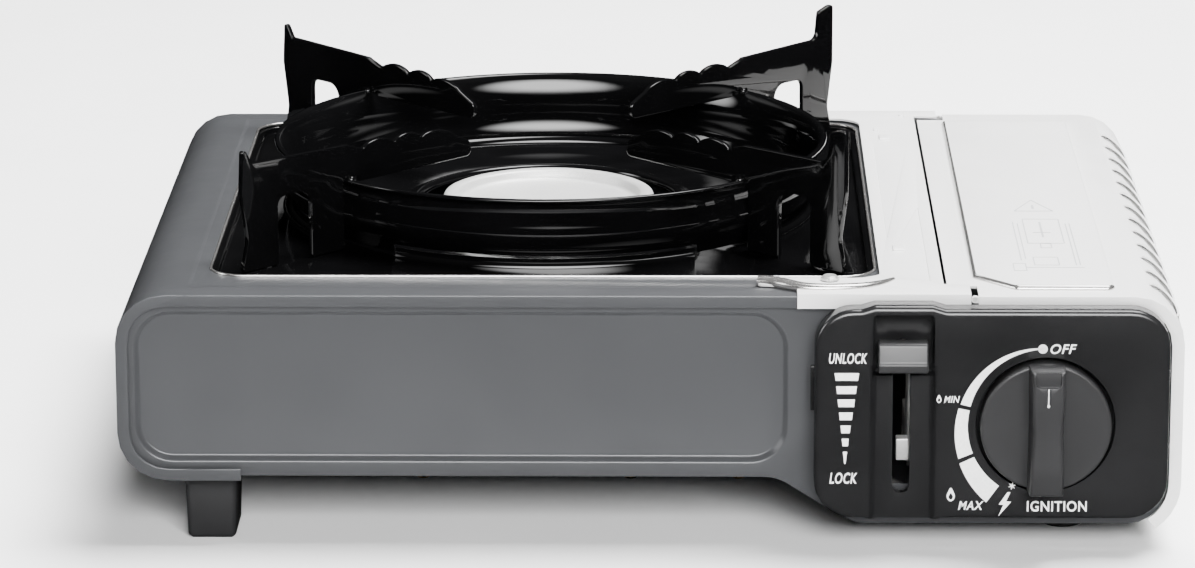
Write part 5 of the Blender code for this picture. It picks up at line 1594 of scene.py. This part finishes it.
def glow_screen(name, place, target, wide, tall, strength):
    """Screen that shows only in reflections and fades out towards its edges."""
    deselect()
    bpy.ops.mesh.primitive_plane_add(size=1, location=place)
    screen = bpy.context.object
    screen.name = name
    screen.rotation_euler = (Vector(target) - Vector(place)).to_track_quat("Z", "Y").to_euler()
    screen.scale = (wide, tall, 1)
    glow = bpy.data.materials.new(name)
    glow.use_nodes = True
    nodes = glow.node_tree.nodes
    links = glow.node_tree.links
    nodes.remove(nodes["Principled BSDF"])
    coordinates = nodes.new("ShaderNodeTexCoord")
    centred = nodes.new("ShaderNodeMapping")
    centred.inputs["Scale"].default_value = (2, 2, 2)
    fade = nodes.new("ShaderNodeTexGradient")
    fade.gradient_type = "SPHERICAL"
    level = nodes.new("ShaderNodeMapRange")
    level.interpolation_type = "SMOOTHSTEP"
    level.inputs["From Max"].default_value = SCREEN_FADE
    level.inputs["To Max"].default_value = strength
    light = nodes.new("ShaderNodeEmission")
    links.new(coordinates.outputs["Object"], centred.inputs["Vector"])
    links.new(centred.outputs["Vector"], fade.inputs["Vector"])
    links.new(fade.outputs["Fac"], level.inputs["Value"])
    links.new(level.outputs["Result"], light.inputs["Strength"])
    links.new(light.outputs["Emission"], nodes["Material Output"].inputs["Surface"])
    screen.data.materials.append(glow)
    for ray in ("camera", "diffuse", "transmission", "volume_scatter", "shadow"):
        setattr(screen, "visible_" + ray, False)
    return screen


class STOVE_OT_stage(Piece):
    """Pale floor, soft lights and the camera"""

    bl_idname = "stove.stage"
    bl_label = "Studio"

    def execute(self, context):
        self.floor()
        self.lights(context)
        self.camera(context)
        return {"FINISHED"}

    def floor(self):
        """Large pale floor."""
        deselect()
        bpy.ops.mesh.primitive_plane_add(size=FLOOR_WIDE)
        floor = bpy.context.object
        floor.name = "studio_floor"
        paper = Finish("studio_paper")
        paper.colour(paper.noise(2, 3), (0.94, 0.94, 0.94), (0.95, 0.95, 0.95))
        paper.roughness(paper.noise(20, 3), 0.55, 0.65)
        paper.bumps((paper.noise(300, 3), 0.01 * MM),)
        floor.data.materials.append(paper.material)
        floor.visible_glossy = False

    def lights(self, context):
        """Air that is brighter overhead, soft lights and their reflections."""
        world = bpy.data.worlds.new("studio_air")
        context.scene.world = world
        world.use_nodes = True
        nodes = world.node_tree.nodes
        links = world.node_tree.links
        place = nodes.new("ShaderNodeTexCoord")
        split = nodes.new("ShaderNodeSeparateXYZ")
        height = nodes.new("ShaderNodeMapRange")
        links.new(place.outputs["Generated"], split.inputs["Vector"])
        links.new(split.outputs["Z"], height.inputs["Value"])
        for name, level in zip(RANGE_ENDS, AIR_LEVELS):
            height.inputs[name].default_value = level
        links.new(height.outputs["Result"], nodes["Background"].inputs["Strength"])
        for settings in SOFTBOXES:
            area_light(*settings)
        for settings in SCREENS:
            glow_screen(*settings)

    def camera(self, context):
        """Camera at the stage's main view."""
        ahead = Vector((math.sin(EYE_YAW) * math.cos(EYE_PITCH),
                        math.cos(EYE_YAW) * math.cos(EYE_PITCH), -math.sin(EYE_PITCH)))
        side = Vector((math.cos(EYE_YAW), -math.sin(EYE_YAW), 0))
        top = side.cross(ahead)
        right = math.cos(EYE_ROLL) * side + math.sin(EYE_ROLL) * top
        up = -math.sin(EYE_ROLL) * side + math.cos(EYE_ROLL) * top
        deselect()
        bpy.ops.object.camera_add()
        eye = bpy.context.object
        eye.name = "studio_camera"
        eye.data.sensor_width = SENSOR
        eye.data.lens = EYE_LENS
        eye.matrix_world = Matrix((
            (right.x, up.x, -ahead.x, EYE.x), (right.y, up.y, -ahead.y, EYE.y),
            (right.z, up.z, -ahead.z, EYE.z), (0, 0, 0, 1)))
        context.scene.camera = eye


# ---------------------------------------------------------------- add-on
class STOVE_PT_panel(bpy.types.Panel):
    """Sizes, colours and the building steps of the stove"""

    bl_label = "Camping Stove"
    bl_idname = "STOVE_PT_panel"
    bl_space_type = "VIEW_3D"
    bl_region_type = "UI"
    bl_category = "Stove"

    def draw(self, context):
        column = self.layout.column(align=True)
        for group in (sizes(), colours()):
            for name in group.bl_rna.properties.keys():
                if name not in ("rna_type", "name"):
                    column.prop(group, name)
        for step in STEPS:
            column.operator(step.bl_idname)


STEPS = (
    STOVE_OT_body,
    STOVE_OT_base,
    STOVE_OT_bridge,
    STOVE_OT_lid,
    STOVE_OT_pan,
    STOVE_OT_burner,
    STOVE_OT_support,
    STOVE_OT_fascia,
    STOVE_OT_legends,
    STOVE_OT_knob,
    STOVE_OT_lever,
    STOVE_OT_legs,
    STOVE_OT_insides,
    STOVE_OT_stage,
)
CLASSES = (StoveSizes, StoveColours, *STEPS, STOVE_PT_panel)


def register():
    """Add the stove's classes and its settings to Blender."""
    for item in CLASSES:
        bpy.utils.register_class(item)
    bpy.types.Scene.stove_sizes = bpy.props.PointerProperty(type=StoveSizes)
    bpy.types.Scene.stove_colours = bpy.props.PointerProperty(type=StoveColours)


def unregister():
    """Take the stove's classes and settings out again."""
    del bpy.types.Scene.stove_colours
    del bpy.types.Scene.stove_sizes
    for item in reversed(CLASSES):
        bpy.utils.unregister_class(item)


def main():
    """Build the stove and its stage, step by step."""
    register()
    for step in STEPS:
        family, verb = step.bl_idname.split(".")
        result = getattr(getattr(bpy.ops, family), verb)()
        if result != {"FINISHED"}:
            raise RuntimeError(step.bl_idname + " did not finish")


if __name__ == "__main__":
    main()
